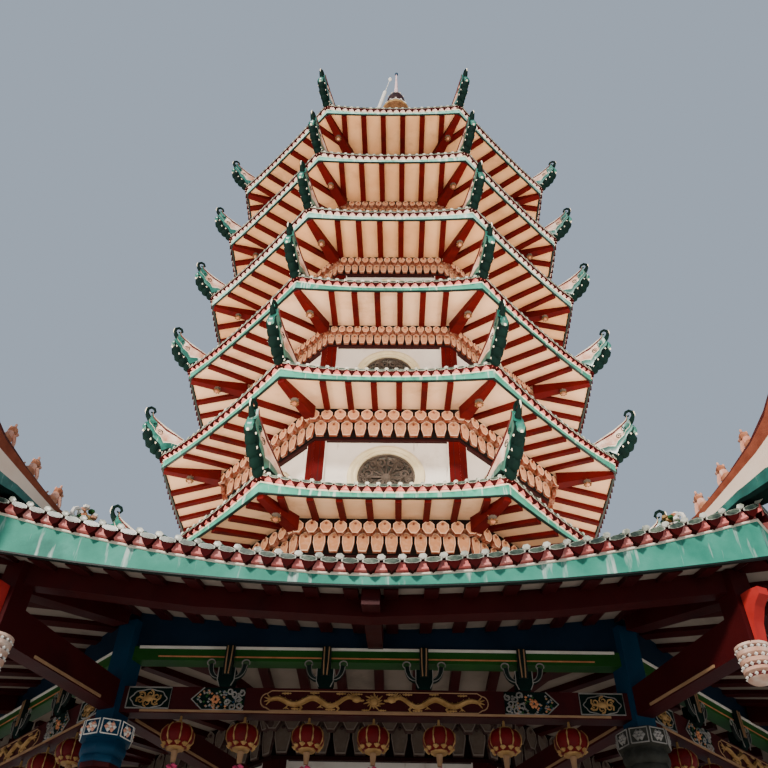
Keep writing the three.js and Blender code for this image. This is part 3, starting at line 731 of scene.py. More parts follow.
EAVE_BOARD_TOP = 0.11
DRIP_HEIGHT = 0.235  # of the lowest tiles over the foot of the eave board
DRIP_LENGTH = {"tower": 0.34, "porch": 0.40}
ROOF_BED = {"low": 0.235, "high": 0.93, "straight": 0.46, "steepness": 2.0}
TOP_APEX = {"apothem": 0.9, "rise": 6.1}
TOP_BOW = {"straight": 0.363, "steepness": 4.0}  # the top roof's curve from its eave to its apex
HIP_FOOT = 0.33  # of a hip ridge over the foot of the eave board
TILE_SETBACK = 0.09  # how far the field of tiles starts behind the eave
TILE_LAP = 0.56  # share of a course that lies below its own middle, lap included
TILE_PITCH = 0.205
DRIP_FINISHES = ["under_tile", "glaze", "under_tile", "pink", "rim"]
TILE_OUT = 0.10  # how far the tiles stand out past the eave board
SOFFIT = {"inner": 0.42, "outer": 0.04, "margin": 0.07}
RAFTER = {"pitch": 0.118, "spread": 0.0012, "width": 0.12, "growth": 0.009, "deep": 0.10}
HIP_BEAM = {"half": 0.115, "taper": 0.045, "growth": 0.06, "deep": 0.34, "rise": 0.20}


def slope_points(eave, wall, low, high, straight, steepness, lift, steps):
    """Points of a roof's surface from its eave to its wall."""
    points = []
    for i in range(steps + 1):
        t = i / steps
        share = straight * t + (1 - straight) * t**steepness
        points.append((eave - t * (eave - wall), low + share * (high - low), lift * (1 - t) ** 2))
    return points


def eave_bend(outer, inner, lift=EAVE_LIFT["bottom"], fall=1.0, power=EAVE_LIFT["power"]):
    return {"Lift": lift, "Lift power": power, "Lift from": inner, "Lift to": outer, "Lift fall": fall}


def drip_tile(pitch, length, out, mortar=True, power=1.25):
    """The lowest tile: a deep trough with a lens across its end, mortar, and a round cover with a cap."""
    shape = Shape()
    half, deep, steps, fall = 0.44 * pitch, 0.70 * pitch, 4, 0.18
    across = [half * (2 * i / steps - 1) for i in range(steps + 1)]
    trough = [(x, -deep * (1 - abs(x / half) ** power)) for x in across] + [(0.0, -0.18 * pitch)]
    shape.loft([[(x, y, z + fall * (y + out)) for x, z in trough] for y in (-out, length)], 0)
    for size, near, far, finish in ((1.0, -out - 0.006, -out + 0.006, 4), (0.84, -out - 0.010, -out, 1)):
        turns = [2 * math.pi * (i + 0.5) / 8 for i in range(8)]
        lens = [(0.45 * size * pitch * math.cos(t), (0.15 * size * math.sin(t) - 0.12) * pitch)
                for t in turns]
        shape.slab(lens, near, far, finish)
    if mortar:
        shape.block((-0.5 * pitch, -out + 0.05, -0.46 * pitch), (0.5 * pitch, 0.02, -0.01), 3)
    radius = 0.17 * pitch
    profile = [(radius, -length), (radius, out - 0.018), (1.3 * radius, out - 0.016),
               (1.25 * radius, out - 0.004), (0.9 * radius, out - 0.002)]
    return shape.turned(profile, 6, [2, 0, 4, 4], (0.5 * pitch, 0.0, 0.026), along="y", squash=0.8,
                        start=0.2)


def roof_tile(pitch, course):
    """One course of the field: a shallow trough, and a half-round cover over its joint with the next."""
    shape = Shape()
    radius = 0.26 * pitch
    rings = []
    for y, size in ((-TILE_LAP * course, 1.12), (0.5 * course, 0.94)):
        ring = [(0.5 * pitch + size * radius * math.cos(math.pi * i / 4), y,
                 size * radius * math.sin(math.pi * i / 4) - 0.02) for i in range(5)]
        rings.append(ring)
    shape.loft(rings, 0)
    trough = [(-0.34 * pitch, 0.0), (0.34 * pitch, 0.0), (0.2 * pitch, -0.03), (-0.2 * pitch, -0.03)]
    ends = ((-0.55 * course, 0.02), (0.5 * course, 0.0))
    return shape.loft([[(x, y, z + lift) for x, z in trough] for y, lift in ends], 0)


def tiles_on_bed(name, bed, pitch, columns, courses, gap, lift):
    """Courses of tiles from the eave to the wall, each as long as its step up the roof's bed."""
    start = bed["Bed eave"] - TILE_SETBACK
    course = (start - gap - bed["Bed wall"]) / (courses - 1 + TILE_LAP)
    first = start - TILE_LAP * course
    field = {**lift, **bed, "Columns": columns, "Spacing": pitch, "Courses": courses, "Eave": first,
             "Wall": first - (courses - 1) * course}
    grown(name, roof_tile(pitch, course).mesh(name), FIELDS, field, ["tile"])


def bar(half, top, deep):
    """A bar's cross section, as (x, z) points."""
    return (-half, top), (half, top), (half, top - deep), (-half, top - deep)


def tower_eave(storey):
    """One storey's eave: shell, rafters, hip beams and tiles."""
    base, eave, wall = eave_bottom(storey), eave_apothem(storey), wall_apothem(storey)
    seat, inner = wall + bracket_sizes(storey)["rows"][1], wall - 0.02
    outer = eave - SOFFIT["margin"]
    low, high = EAVE_LIFT["bottom"], EAVE_LIFT["top"] - 0.015
    end, rise, bow, steps, courses = wall + 0.02, ROOF_BED["high"], ROOF_BED, 6, 2
    if storey == TOP_STOREY:
        end, rise, bow, steps, courses = TOP_APEX["apothem"], TOP_APEX["rise"] - 0.02, TOP_BOW, 16, 10
    bed = slope_points(eave - 0.005, end, base + ROOF_BED["low"], base + rise, bow["straight"],
                       bow["steepness"], high, steps)
    profile = [
        (inner, base + SOFFIT["inner"], 0.0, 0), (seat, base + SOFFIT["inner"], 0.0, 0),
        (outer, base + SOFFIT["outer"], low, 1), (eave - 0.05, base, low, 1), (eave, base, low, 1),
        (eave, base + 0.022, low, 2), (eave, base + EAVE_BOARD_TOP, high, 3),
        (eave + 0.018, base + EAVE_BOARD_TOP + 0.006, high, 3),
        (eave + 0.018, base + EAVE_BOARD_TOP + 0.026, high, 3),
        (eave - 0.005, base + EAVE_BOARD_TOP + 0.032, high, 4),
    ]
    profile += [(a, z, lift, 5) for a, z, lift in bed[:-1]]
    profile += [(bed[-1][0], bed[-1][1], 0.0, 5), (min(inner, bed[-1][0] - 0.1), bed[-1][1], 0.0, 0)]
    if storey == TOP_STOREY:  # the inside follows the hollow curve of the roof
        profile += [(a - 0.15, z - 0.08, 0.0, 0) for a, z, _ in reversed(bed[:-1]) if a - 0.15 < inner]
    # Storeys 5 to 7 take copies of the board and pink paints with painted sun glare, and of the soffit
    # paint with painted shade
    painted_light_prefix = "high_" if storey > 4 else ""
    finishes = [painted_light_prefix + "soffit", "edge", painted_light_prefix + "board", "cream", painted_light_prefix + "pink", "tile"]
    drips = [painted_light_prefix + finish if finish == "pink" else finish for finish in DRIP_FINISHES]
    name = f"storey_{storey}_roof"
    shell = ring_piece(f"{name}_shell", profile, finishes, 12, EAVE_LIFT["power"], "eave_paint", 25)
    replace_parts(shell, name)

    # Rafters under the soffit
    def soffit_height(apothem):
        share = (apothem - seat) / (outer - seat)
        return base + SOFFIT["inner"] - share * (SOFFIT["inner"] - SOFFIT["outer"])

    above = storey - 2  # storeys up from the lowest eave
    count = 6 if above else 8
    spacing = (RAFTER["pitch"] + RAFTER["spread"] * above**2) * 2 * eave * HALF_SIDE
    width = RAFTER["width"] + RAFTER["growth"] * above
    rings = []
    for i in range(6):
        apothem = seat - 0.03 + (outer - seat + 0.03) * i / 5
        section = bar(width / 2, soffit_height(apothem) + 0.01, RAFTER["deep"])
        rings.append([(x, -apothem, z) for x, z in section])
    row(f"{name}_rafters", Shape().loft(rings), ["red"], count, spacing, trim=0.02,
        bend=eave_bend(outer, seat))

    # Hip beams, deeper towards the tower, each with a hanging carved flower
    beam, rings = Shape(), []
    for i in range(7):
        t = i / 6
        half = (HIP_BEAM["half"] - HIP_BEAM["taper"] * t) * (1 + HIP_BEAM["growth"] * above)
        radius = (seat + (outer - seat) * t) * TO_CORNER
        top = soffit_height(seat + (outer - seat) * t) + low * t + 0.01
        deep = HIP_BEAM["deep"] - HIP_BEAM["rise"] * t
        rings.append([(x, -radius, z) for x, z in bar(half, top, deep)])
    beam.loft(rings, 0)
    pendant(beam, (seat + 0.52 * (outer - seat)) * TO_CORNER, soffit_height(seat) - 0.30)
    row(f"{name}_hip_beams", beam, ["red", "grille", "clay", "bronze"], **CORNERS)

    # Tiles: the drip course, then the field
    side = 2 * (eave + TILE_OUT) * HALF_SIDE
    count = round(side / TILE_PITCH)
    pitch = side / count
    row(f"{name}_drips", drip_tile(pitch, DRIP_LENGTH["tower"], TILE_OUT), drips, count, pitch, eave,
        base + DRIP_HEIGHT, 0.002, bend=eave_bend(eave, wall, high, 2.0), wobble=0.012, seed=storey)
    row(f"{name}_corner_drips", drip_tile(pitch, DRIP_LENGTH["tower"], TILE_OUT, False), drips, 1, 0.0,
        eave * TO_CORNER, base + DRIP_HEIGHT + high, **CORNERS)
    bed = {"Bed eave": eave, "Bed wall": end, "Height": base + ROOF_BED["low"] + 0.05,
           "Rise": rise - ROOF_BED["low"], "Straight": bow["straight"], "Steepness": bow["steepness"],
           "Hip": 0.05}
    lift = eave_bend(eave, TOP_APEX["apothem"] if storey == TOP_STOREY else wall, high, 2.0)
    tiles_on_bed(f"{name}_tiles", bed, pitch, count, courses, 0.08, lift)


def pendant(shape, radius, height):
    """A carved flower that hangs under a hip beam."""
    centre = (0, -radius, height)
    shape.turned([(0.02, 0.10), (0.022, 0.02), (0.07, 0.0), (0.05, -0.04), (0.09, -0.08), (0.06, -0.14),
                  (0.03, -0.17)], 8, 1, centre)
    for turn in turns_of(8):
        shape.ball(around(turn, 0.078, centre, -0.175), 0.034, 3, 5, (0.9, 0.9, 0.7))
        shape.ball(around(turn, 0.08, centre, -0.06), 0.022, 2, 5)
    return shape.turned([(0.05, -0.16), (0.045, -0.20), (0.015, -0.22)], 8, 2, centre)


# Tower: brackets


def block_outline(width, height, upper):
    """Outline of a bracket block's face: a narrow foot, bulging sides and a point at the top."""
    half, shoulder = width / 2, height - 0.36 * width
    foot, waist = (0.22 * width, 0.36 * height) if upper else (0.31 * width, 0.46 * height)
    right = [(foot, 0.0), (half, waist), (0.97 * half, shoulder), (0.20 * width, height - 0.09 * width)]
    return right + [(0.0, height)] + [(-x, z) for x, z in reversed(right)]


def bracket_block(width, height, depth, upper):
    """A block with a raised pale rim round a hollowed face. Its sides, and the hollow towards its point,
    are darkened: painted shade.
    """
    outline = block_outline(width, height, upper)
    middle = 0.54 * height
    # Shade numbers: low on the sides, and falling towards the point on the hollow: painted shade
    ring_sizes = ((1.0, 0.0, -0.1), (0.95, -depth + 0.004, -0.1), (0.91, -depth, 0.95),
                  (0.84, -depth, 0.9), (0.78, -depth + 0.016, 0.45))
    rings, shades = [], []
    for size, y, shade in ring_sizes:
        rings.append([(x * size, y, middle + (z - middle) * size) for x, z in outline])
        painted_shade_to_point = 0.0 if size > 0.8 else 0.42
        shades += [shade - painted_shade_to_point * max(0.0, z / height - 0.45) for _, _, z in rings[-1]]
    shape = Shape().loft(rings, 0, shades)
    boss = 0.13 * width
    return shape.turned([(boss, depth - 0.02), (0.5 * boss, depth + 0.010)], 6, 0,
                        (0, 0, middle + 0.20 * height), along="y", shade=0.0)


# Floor and height of each row in band heights, width in spacings, depth in metres
BRACKETS = {"low": (0.02, 0.81), "high": (0.54, 0.55), "width": 0.90, "depth": 0.10}
SHADOW_SILL = {"deep": 0.055, "out": 0.085}  # a near black strip under the brackets: painted shadow


def bracket_band(storey, finish="bracket"):
    """Two rows of blocks that interlock under the eave, the upper one further out."""
    wall, sizes = wall_apothem(storey), bracket_sizes(storey)
    bottom, tall = bracket_bottom(storey), sizes["height"]
    roof = CEILING if storey == 1 else eave_bottom(storey) + SOFFIT["inner"]
    name = f"storey_{storey}_brackets" if storey > 1 else "ground_brackets"
    near, far = (wall + reach - 0.05 for reach in sizes["rows"])
    step = bottom + 0.82 * tall
    # The backing, but for its step, is near black: painted shadow in the gaps between the blocks
    backing = [(wall - 0.02, bottom, 0, 0), (near, bottom, 0, 0), (near, step, 0, 1), (far, step, 0, 0),
               (far, roof + 0.01, 0, 0), (wall - 0.02, roof + 0.01, 0, 0)]
    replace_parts(ring_piece(f"{name}_gaps", backing, ["dark", "grille" if storey == 1 else "clay"]), name)
    # A near black strip under the brackets: painted shadow
    sill = [(wall - 0.02, bottom - SHADOW_SILL["deep"], 0, 0), (wall + SHADOW_SILL["out"], bottom - SHADOW_SILL["deep"], 0, 0),
            (wall + SHADOW_SILL["out"], bottom, 0, 0), (wall - 0.02, bottom, 0, 0)]
    ring_piece(f"{name}_sill", sill, ["groove"])
    for i, label in enumerate(("low", "high")):
        apothem, count = wall + sizes["rows"][i], sizes["counts"][i]
        spacing = 2 * apothem * HALF_SIDE / (count - 0.5 * i)
        floor, height = (share * tall for share in BRACKETS[label])
        floor = min(floor, roof - bottom - height)
        block = bracket_block(BRACKETS["width"] * spacing, height, BRACKETS["depth"], label == "high")
        block.points = [(x, y + BRACKETS["depth"], z) for x, y, z in block.points]
        row(f"{name}_row_{i + 1}", block, [finish], count, spacing, apothem, bottom + floor, 0.004,
            wobble=0.02, seed=storey * 2 + i)


# Tower: pilasters and windows


def pilasters(name, storey, bottom, top, finish="red"):
    """Corner strips, each with a dark groove down its middle, on both sides of a corner."""
    wall = wall_apothem(storey)
    face, width = wall + 0.066, 0.235
    end = face * HALF_SIDE
    shape = Shape()
    for side in (-1, 1):
        for inner, outer in ((width, 0.55 * width), (0.50 * width, 0.0)):
            xs = sorted((side * (end - inner), side * (end - outer)))
            shape.block((xs[0], -face, bottom), (xs[1], -wall + 0.02, top), 0)
        xs = sorted((side * (end - 0.56 * width), side * (end - 0.49 * width)))
        shape.block((xs[0], -face + 0.003, bottom), (xs[1], -wall + 0.02, top), 1)
    row(name, shape, [finish, "groove"], trim=0.0005)


def window_place(storey):
    """Radius and height of the round windows."""
    ring = 0.224 * wall_apothem(storey)
    return ring, bracket_bottom(storey) - 0.13 - ring


def scroll(centre, start, turns, radius, shrink, steps):
    """Points of a flat spiral that winds inwards."""
    points = []
    for i in range(steps + 1):
        t = i / steps
        angle = start + turns * 2 * math.pi * t
        reach = radius * (1 - shrink * t)
        points.append((centre[0] + reach * math.cos(angle), centre[1] + reach * math.sin(angle)))
    return points


WINDOW_RING = [(0.735, -0.05), (0.735, 0.02), (0.78, 0.045), (0.83, 0.03), (0.90, 0.062), (0.97, 0.045),
               (1.0, -0.01)]  # share of the window's radius, and metres out from the wall
GRILLE_RING = [(0.75, -0.03), (0.75, 0.02), (0.68, 0.02), (0.68, -0.03)]


def windows(storey):
    """The round mouldings of a storey's windows, and their carved grilles."""
    ring, centre = window_place(storey)
    face = wall_apothem(storey) + 0.002

    def hoop(profile, depth):
        rings = []
        for angle in turns_of(30):
            across, up = ring * math.cos(angle), ring * math.sin(angle)
            rings.append([(share * across, depth - out, centre + share * up) for share, out in profile])
        return Shape().loft(rings, 0, closed=True)

    row(f"storey_{storey}_window_rings", hoop(WINDOW_RING, -face), ["ring"], slot="white_plaster")

    depth, thickness = -face + 0.035, 0.032 * ring / 0.87
    grille = hoop(GRILLE_RING, depth)

    def carved(points, thick=thickness):
        path = [(ring * x, depth, centre + ring * z) for x, z in points]
        middle = (len(path) - 1) / 2
        grille.tube(path, [thick * (1.15 - 0.5 * abs(i / middle - 1)) for i in range(len(path))], 3)

    for i in range(6):
        angle = math.pi / 6 + i * math.pi / 3
        out = Vector((math.cos(angle), math.sin(angle)))
        across = Vector((-out.y, out.x))
        for hand in (-1, 1):
            leaf = 0.44 * out + 0.14 * hand * across
            carved(scroll(leaf, angle + math.pi / 2 * hand, -1.3 * hand, 0.15, 0.75, 9))
            edge = (0.56 * math.cos(angle + hand * 0.36), 0.56 * math.sin(angle + hand * 0.36))
            carved(scroll(edge, angle, 0.9 * hand, 0.10, 0.6, 6))
        carved([0.12 * out, 0.40 * out])
        carved([0.58 * out, 0.70 * out], 1.3 * thickness)
        between = Vector((math.cos(angle + math.pi / 6), math.sin(angle + math.pi / 6)))
        carved([0.10 * between, 0.24 * between, 0.70 * between], 1.2 * thickness)
        carved([0.30 * between + 0.10 * across, 0.44 * between, 0.34 * between - 0.08 * across])
    grille.ball((0, depth, centre), 0.13 * ring, 0, 8, (1, 0.5, 1))
    row(f"storey_{storey}_window_grilles", grille, ["grille"])


# Tower: ridges

RIDGE_END = {  # as outward and upward from the corner at the ridge's foot; a lobe has its size too
    "crest": [(-0.34, 0.381), (-0.10, 0.50), (0.145, 0.622), (0.25, 0.68), (0.36, 0.75), (0.45, 0.81),
              (0.50, 0.86), (0.53, 0.92), (0.55, 1.00)],
    "foot": [(-0.30, -0.02), (-0.02, -0.06), (0.106, -0.227), (0.19, -0.03), (0.394, 0.133), (0.434, 0.289),
             (0.60, 0.43), (0.64, 0.539), (0.60, 0.70)],
    "curl": [(0.57, 0.80), (0.65, 0.90), (0.70, 1.02), (0.69, 1.13), (0.62, 1.19), (0.54, 1.16),
             (0.50, 1.08), (0.54, 1.01), (0.60, 1.04)],
    "curl_sizes": (0.075, 0.060, 0.046, 0.040, 0.038, 0.036, 0.032, 0.028, 0.018),
    "lobes": ((0.11, -0.14, 0.14), (0.26, -0.02, 0.155), (0.40, 0.13, 0.155), (0.51, 0.31, 0.15)),
}
# Share of the height, share of the width and finish of the strip above it
TOWER_BANDS = ((0.0, 1.0, 4), (0.10, 1.12, 0), (0.40, 1.05, 1), (0.46, 0.92, 2), (0.86, 0.90, 3),
               (0.92, 1.1, 1), (1.0, 0.9, 1))
TOWER_RIDGE = ["teal", "cream", "flank", "maroon", "dark_teal", "gold"]
PORCH_BANDS = ((0.0, 0.9, 4), (0.10, 1.0, 0), (0.36, 0.94, 1), (0.72, 0.98, 2), (0.92, 1.08, 3),
               (1.0, 0.95, 3))
PORCH_RIDGE = ["teal", "ridge_cream", "ridge_brown", "maroon", "dark_teal", "gold"]


def ridge_section(foot, crest, half, bands):
    """A cross section from foot to crest and back down the other side."""
    right, left = [], []
    for share, wide, _ in bands:
        out = foot[0] + (crest[0] - foot[0]) * share
        up = foot[1] + (crest[1] - foot[1]) * share
        right.append((half * wide, -out, up))
        left.append((-half * wide, -out, up))
    return right + left[::-1]


def ridge_end(corner, base, scale, reach, rise):
    """Foot and crest points of a ridge's end. The first crest points may be raised."""
    raised = list(rise) + [0.0] * (len(RIDGE_END["crest"]) - len(rise))
    crest = [(out, up + more) for (out, up), more in zip(RIDGE_END["crest"], raised)]
    return [tuple((corner + reach + out * scale, base + up * scale) for out, up in pair)
            for pair in zip(RIDGE_END["foot"], crest)]


def hip_ridge(name, body, corner, base, half, scale=1.0, reach=0.0, rise=(), bands=TOWER_BANDS,
              finishes=TOWER_RIDGE):
    """A ridge down a hip whose end rises, with lobes below it, and hooks over past the corner."""
    shape = Shape()
    marks = [band[2] for band in bands[:-1]]
    strips = marks + [bands[-1][2]] + marks[::-1] + [4]
    ends = ridge_end(corner, base, scale, reach, rise)
    body = [(foot, crest) for foot, crest in body if crest[0] < ends[0][1][0] - 0.05]

    def at(spot):
        return corner + reach + spot[0] * scale, base + spot[1] * scale

    def ball(x, z, size, finish, side=0.0, stretch=(1.0, 1.0, 1.0), sides=6):
        out, up = at((x, z))
        shape.ball((side * half, -out, up), scale * size, finish, sides, stretch)

    sections = [ridge_section(foot, crest, half, bands) for foot, crest in body]
    sections += [ridge_section(foot, crest, half * (1.0 + 0.18 * math.sin(math.pi * i / len(ends))), bands)
                 for i, (foot, crest) in enumerate(ends)]
    shape.loft(sections)
    for i in range(len(shape.faces) - 2):
        station, number = divmod(i, len(strips))
        outer = station > len(body) + 3 and strips[number] == 2
        shape.finishes[i] = 0 if outer else strips[number]
    curl = [(0.0, -x, z) for x, z in map(at, RIDGE_END["curl"])]
    shape.tube(curl, [scale * size for size in RIDGE_END["curl_sizes"]], 7, 4)
    # a cream line along the curl's outer face: painted highlight
    shape.tube([(0.0, y - 0.038 * scale, z + 0.01) for _, y, z in curl[1:4]], 0.018 * scale, 5, 1)
    for i, (x, z, size) in enumerate(RIDGE_END["lobes"]):
        wide = (1.28 - 0.12 * (i % 2)) * half / (scale * size)
        ball(x, z, size, 4, stretch=(wide, 1.0, 1.25), sides=9)
        # small cream balls at each lobe's sides: painted glints
        for side in (-1.15, 1.15):
            ball(x + 0.03, z + 0.08 * (i % 2), 0.15 * size, 1, side, (0.8, 1.2, 1.6), 5)
    ball(0.60, 0.56, 0.11, 0, stretch=(1.15 * half / (scale * 0.11), 1.0, 1.3), sides=8)
    ball(0.655, 0.43, 0.032, 1)
    for side in (-1, 1):
        for x, z, size in ((0.26, 0.40, 0.085), (0.41, 0.58, 0.07)):
            out, up = at((x, z))
            path = [(side * 1.04 * half, -(out + dx * scale), up + dz * scale)
                    for dx, dz in scroll((0, 0), 0.6, 1.4, size, 0.75, 10)]
            shape.tube(path, 0.014 * scale, 3, 4)
    return row(name, shape, finishes, **CORNERS)


def collar(name, inner, foot, outs, heights):
    """A moulding round the tower where a roof meets the wall."""
    (wide, narrow), (shoulder, top) = outs, heights
    profile = [(inner, foot, 0, 0), (wide, foot, 0, 0), (wide, shoulder, 0, 1), (narrow, top, 0, 1),
               (inner, top, 0, 0)]
    ring_piece(name, profile, ["teal", "cream"])


def tower_ridges(storey):
    """The hip ridges of a storey's roof, and the moulding where it meets the wall above."""
    base, eave, wall = eave_bottom(storey), eave_apothem(storey), wall_apothem(storey)
    lift = EAVE_LIFT["top"]
    end, rise, bow, steps = wall, 0.98, ROOF_BED, 6
    if storey == TOP_STOREY:
        end, rise, bow, steps = TOP_APEX["apothem"], TOP_APEX["rise"], TOP_BOW, 12
    points = slope_points(eave, end, base + HIP_FOOT, base + rise, bow["straight"], bow["steepness"], lift,
                          steps)
    body = []
    for a, z, up in reversed(points[1:]):
        radius = a * TO_CORNER
        body.append(((radius, z + up), (radius - 0.02, z + up + 0.34)))
    ridge = hip_ridge(f"storey_{storey}_hip_ridges", body, eave * TO_CORNER, base + 0.43 + lift, 0.10)
    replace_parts(ridge, f"storey_{storey}_ridges")
    if storey != TOP_STOREY:
        collar(f"storey_{storey}_collar", wall - 0.01, base + 0.97, (wall + 0.15, wall + 0.13),
               (base + 1.13, base + 1.18))


# Finial

FINIAL = (  # radius, height over its foot and finish of the band above
    (0.86, 0.0, 0), (0.86, 0.16, 0), (0.64, 0.30, 0), (0.64, 0.90, 0), (0.78, 1.06, 0), (0.78, 1.18, 0),
    (0.56, 1.30, 1), (0.70, 1.75, 1), (0.56, 2.25, 0), (0.33, 2.45, 2), (0.33, 2.70, 0), (0.45, 2.78, 0),
    (0.33, 2.88, 2), (0.30, 3.18, 0), (0.40, 3.26, 0), (0.29, 3.36, 2), (0.26, 3.66, 3), (0.60, 3.98, 0),
    (0.64, 4.06, 0), (0.55, 4.30, 4), (0.44, 4.50, 1), (0.43, 4.72, 1), (0.42, 5.05, 1), (0.34, 5.38, 1),
    (0.13, 5.60, 2), (0.07, 6.45, 2), (0.035, 7.66, 2), (0.035, 7.83, 5), (0.078, 7.90, 5),
    (0.078, 7.97, 5), (0.03, 8.04, 5),
)


BEADS = ((0.47, 4.48, 0.06), (0.40, 5.24, 0.035), (0.30, 5.47, 0.03))  # ring radius, height and bead size


def finial():
    """The turned finial, with petals and beads round its upper dome."""
    centre = (0, 0, eave_bottom(TOP_STOREY) + TOP_APEX["rise"])
    shape = Shape()
    shape.turned([(r, z) for r, z, _ in FINIAL], 24, [f for _, _, f in FINIAL[:-1]], centre)
    for turn in turns_of(12):
        for reach, up, size in BEADS:
            shape.ball(around(turn, reach, centre, up), size, 4, 6)
        petal = []
        for j in range(9):
            bow = math.sin(math.pi * j / 8)
            swing = turn + (j / 8 - 0.5) * math.pi / 6
            petal.append(around(swing, 0.65 - 0.17 * bow, centre, 4.06 + 0.36 * bow))
        shape.tube(petal, 0.022, 5, 4)
    finishes = ["gold", "groove", "spire", "bronze", "white", "blue"]
    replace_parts(placed("finial_turned", shape, finishes, "finial_paint"), "finial")


ROD = {  # points are (x, z) in the plane that it leans in, beside the finial
    "y": -0.9,
    "staff": [(-1.29, 31.40), (-0.93, 32.90), (-0.715, 33.80), (-0.48, 35.30)],
    "clamps": [(-1.24, 31.60), (-1.015, 32.55)],
    "held_at": (-0.42, -0.36),  # as (x, y), on the finial
    "needle": [(-0.485, 35.25), (-0.285, 36.50)],
    "knob": (-0.27, 36.57),
}


def leaning_rod():
    """The staff that leans beside the finial, held by two clamps."""

    def points(spots):
        return [(x, ROD["y"], z) for x, z in spots]

    rod = Shape()
    rod.tube(points(ROD["staff"]), [0.085, 0.085, 0.085, 0.08], 8)
    for x, z in ROD["clamps"]:
        rod.tube([(x, ROD["y"], z), (*ROD["held_at"], z)], 0.03)
    rod.tube(points(ROD["needle"]), 0.014)
    rod.ball(*points([ROD["knob"]]), 0.085)
    placed("leaning_rod", rod, ["white"])


# Porch: roof and ridges

PORCH_WALL = wall_apothem(2) + 0.01
PORCH_BED = {"low": 0.28, "top": 7.62, "straight": 0.64, "steepness": 2.0}
PORCH_PITCH = 0.212
PORCH_RAFTER = {"pitch": 0.42, "half": 0.075, "deep": 0.07}
CEILING_RAFTER = {"pitch": 0.57, "count": 11, "half": 0.07, "deep": 0.10}
CEILING_HIP = {"half": 0.09, "deep": 0.16}


def porch_roof():
    """The porch's roof shell, its tiles, and the rafters under its eave and ceiling."""
    base, eave = PORCH["bottom"], PORCH["eave"]
    low, high, power = PORCH["lift"], PORCH["lift_top"], PORCH["power"]
    seat = COLUMN_RING + PLATE["half"]
    outer = eave - 0.08
    bed = slope_points(eave - 0.005, PORCH_WALL, base + PORCH_BED["low"], PORCH_BED["top"],
                       PORCH_BED["straight"], PORCH_BED["steepness"], high, 8)
    profile = [
        (PORCH_WALL, CEILING, 0, 0), (COLUMN_RING - 0.95, CEILING, 0, 0),
        (COLUMN_RING - 0.4, CEILING - 0.13, 0, 0), (seat, PLATE["top"], PLATE["lift"], 0),
        (outer, base + 0.06, low, 1), (eave - 0.05, base, low, 1), (eave, base, low, 1),
        (eave, base + 0.02, low, 2), (eave, base + 0.112, high, 3), (eave + 0.018, base + 0.118, high, 3),
        (eave + 0.018, base + 0.138, high, 3), (eave - 0.005, base + 0.144, high, 4),
    ]
    profile += [(a, z, lift, 5) for a, z, lift in bed]
    finishes = ["porch_soffit", "edge", "board", "cream", "pink", "tile"]
    shell = ring_piece("porch_roof_shell", profile, finishes, 16, power, "eave_paint", 25)
    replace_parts(shell, "porch_roof")

    side = 2 * (eave + TILE_OUT) * HALF_SIDE
    count = round(side / PORCH_PITCH)
    pitch = side / count
    lift = eave_bend(eave, PORCH_WALL, high, 2.0, power)
    drips = drip_tile(pitch, DRIP_LENGTH["porch"], TILE_OUT, power=1.8)
    row("porch_drips", drips, DRIP_FINISHES, count, pitch, eave, base + DRIP_HEIGHT + 0.02, 0.002,
        bend=lift, wobble=0.02, seed=9)
    bed = {"Bed eave": eave, "Bed wall": PORCH_WALL, "Height": base + PORCH_BED["low"] + 0.06,
           "Rise": PORCH_BED["top"] - base - PORCH_BED["low"], "Straight": PORCH_BED["straight"],
           "Steepness": PORCH_BED["steepness"], "Hip": 0.12}
    tiles_on_bed("porch_tiles", bed, pitch, count, 6, 0.2, lift)

    def soffit_height(apothem):
        t = (apothem - seat) / (outer - seat)
        return PLATE["top"] + (base + 0.06 - PLATE["top"]) * t

    rings = []
    for i in range(9):
        apothem = seat - 0.02 + (outer + 0.02 - seat) * i / 8
        section = bar(PORCH_RAFTER["half"], soffit_height(apothem) + 0.012, PORCH_RAFTER["deep"])
        rings.append([(x, -apothem, z) for x, z in section])
    count = round(2 * outer * HALF_SIDE / PORCH_RAFTER["pitch"])
    row("porch_rafters", Shape().loft(rings), ["porch_red"], count, PORCH_RAFTER["pitch"], trim=0.03,
        bend=eave_bend(outer, seat - 1.15, low, 0.62, power))

    def ceiling_bar(size, stretch):
        near, far = (wall_apothem(1) + 0.27) * stretch, (COLUMN_RING - 0.97) * stretch
        half = size["half"]
        return Shape().block((-half, -far, CEILING - size["deep"]), (half, -near, CEILING + 0.01))

    row("porch_ceiling_rafters", ceiling_bar(CEILING_RAFTER, 1.0), ["porch_red"], CEILING_RAFTER["count"],
        CEILING_RAFTER["pitch"], trim=0.02)
    row("porch_ceiling_hips", ceiling_bar(CEILING_HIP, TO_CORNER), ["porch_red"], **CORNERS)


RIDGE_TOP = 7.70  # where the porch's ridges meet the tower
RIDGE_HOOK = {"scale": 1.3, "reach": 0.5, "rise": (-0.03, -0.07, -0.04)}
BEAST = {"radii": (10.165, 10.615, 11.075), "size": 1.15}
BLOOM_RADIUS = 9.60


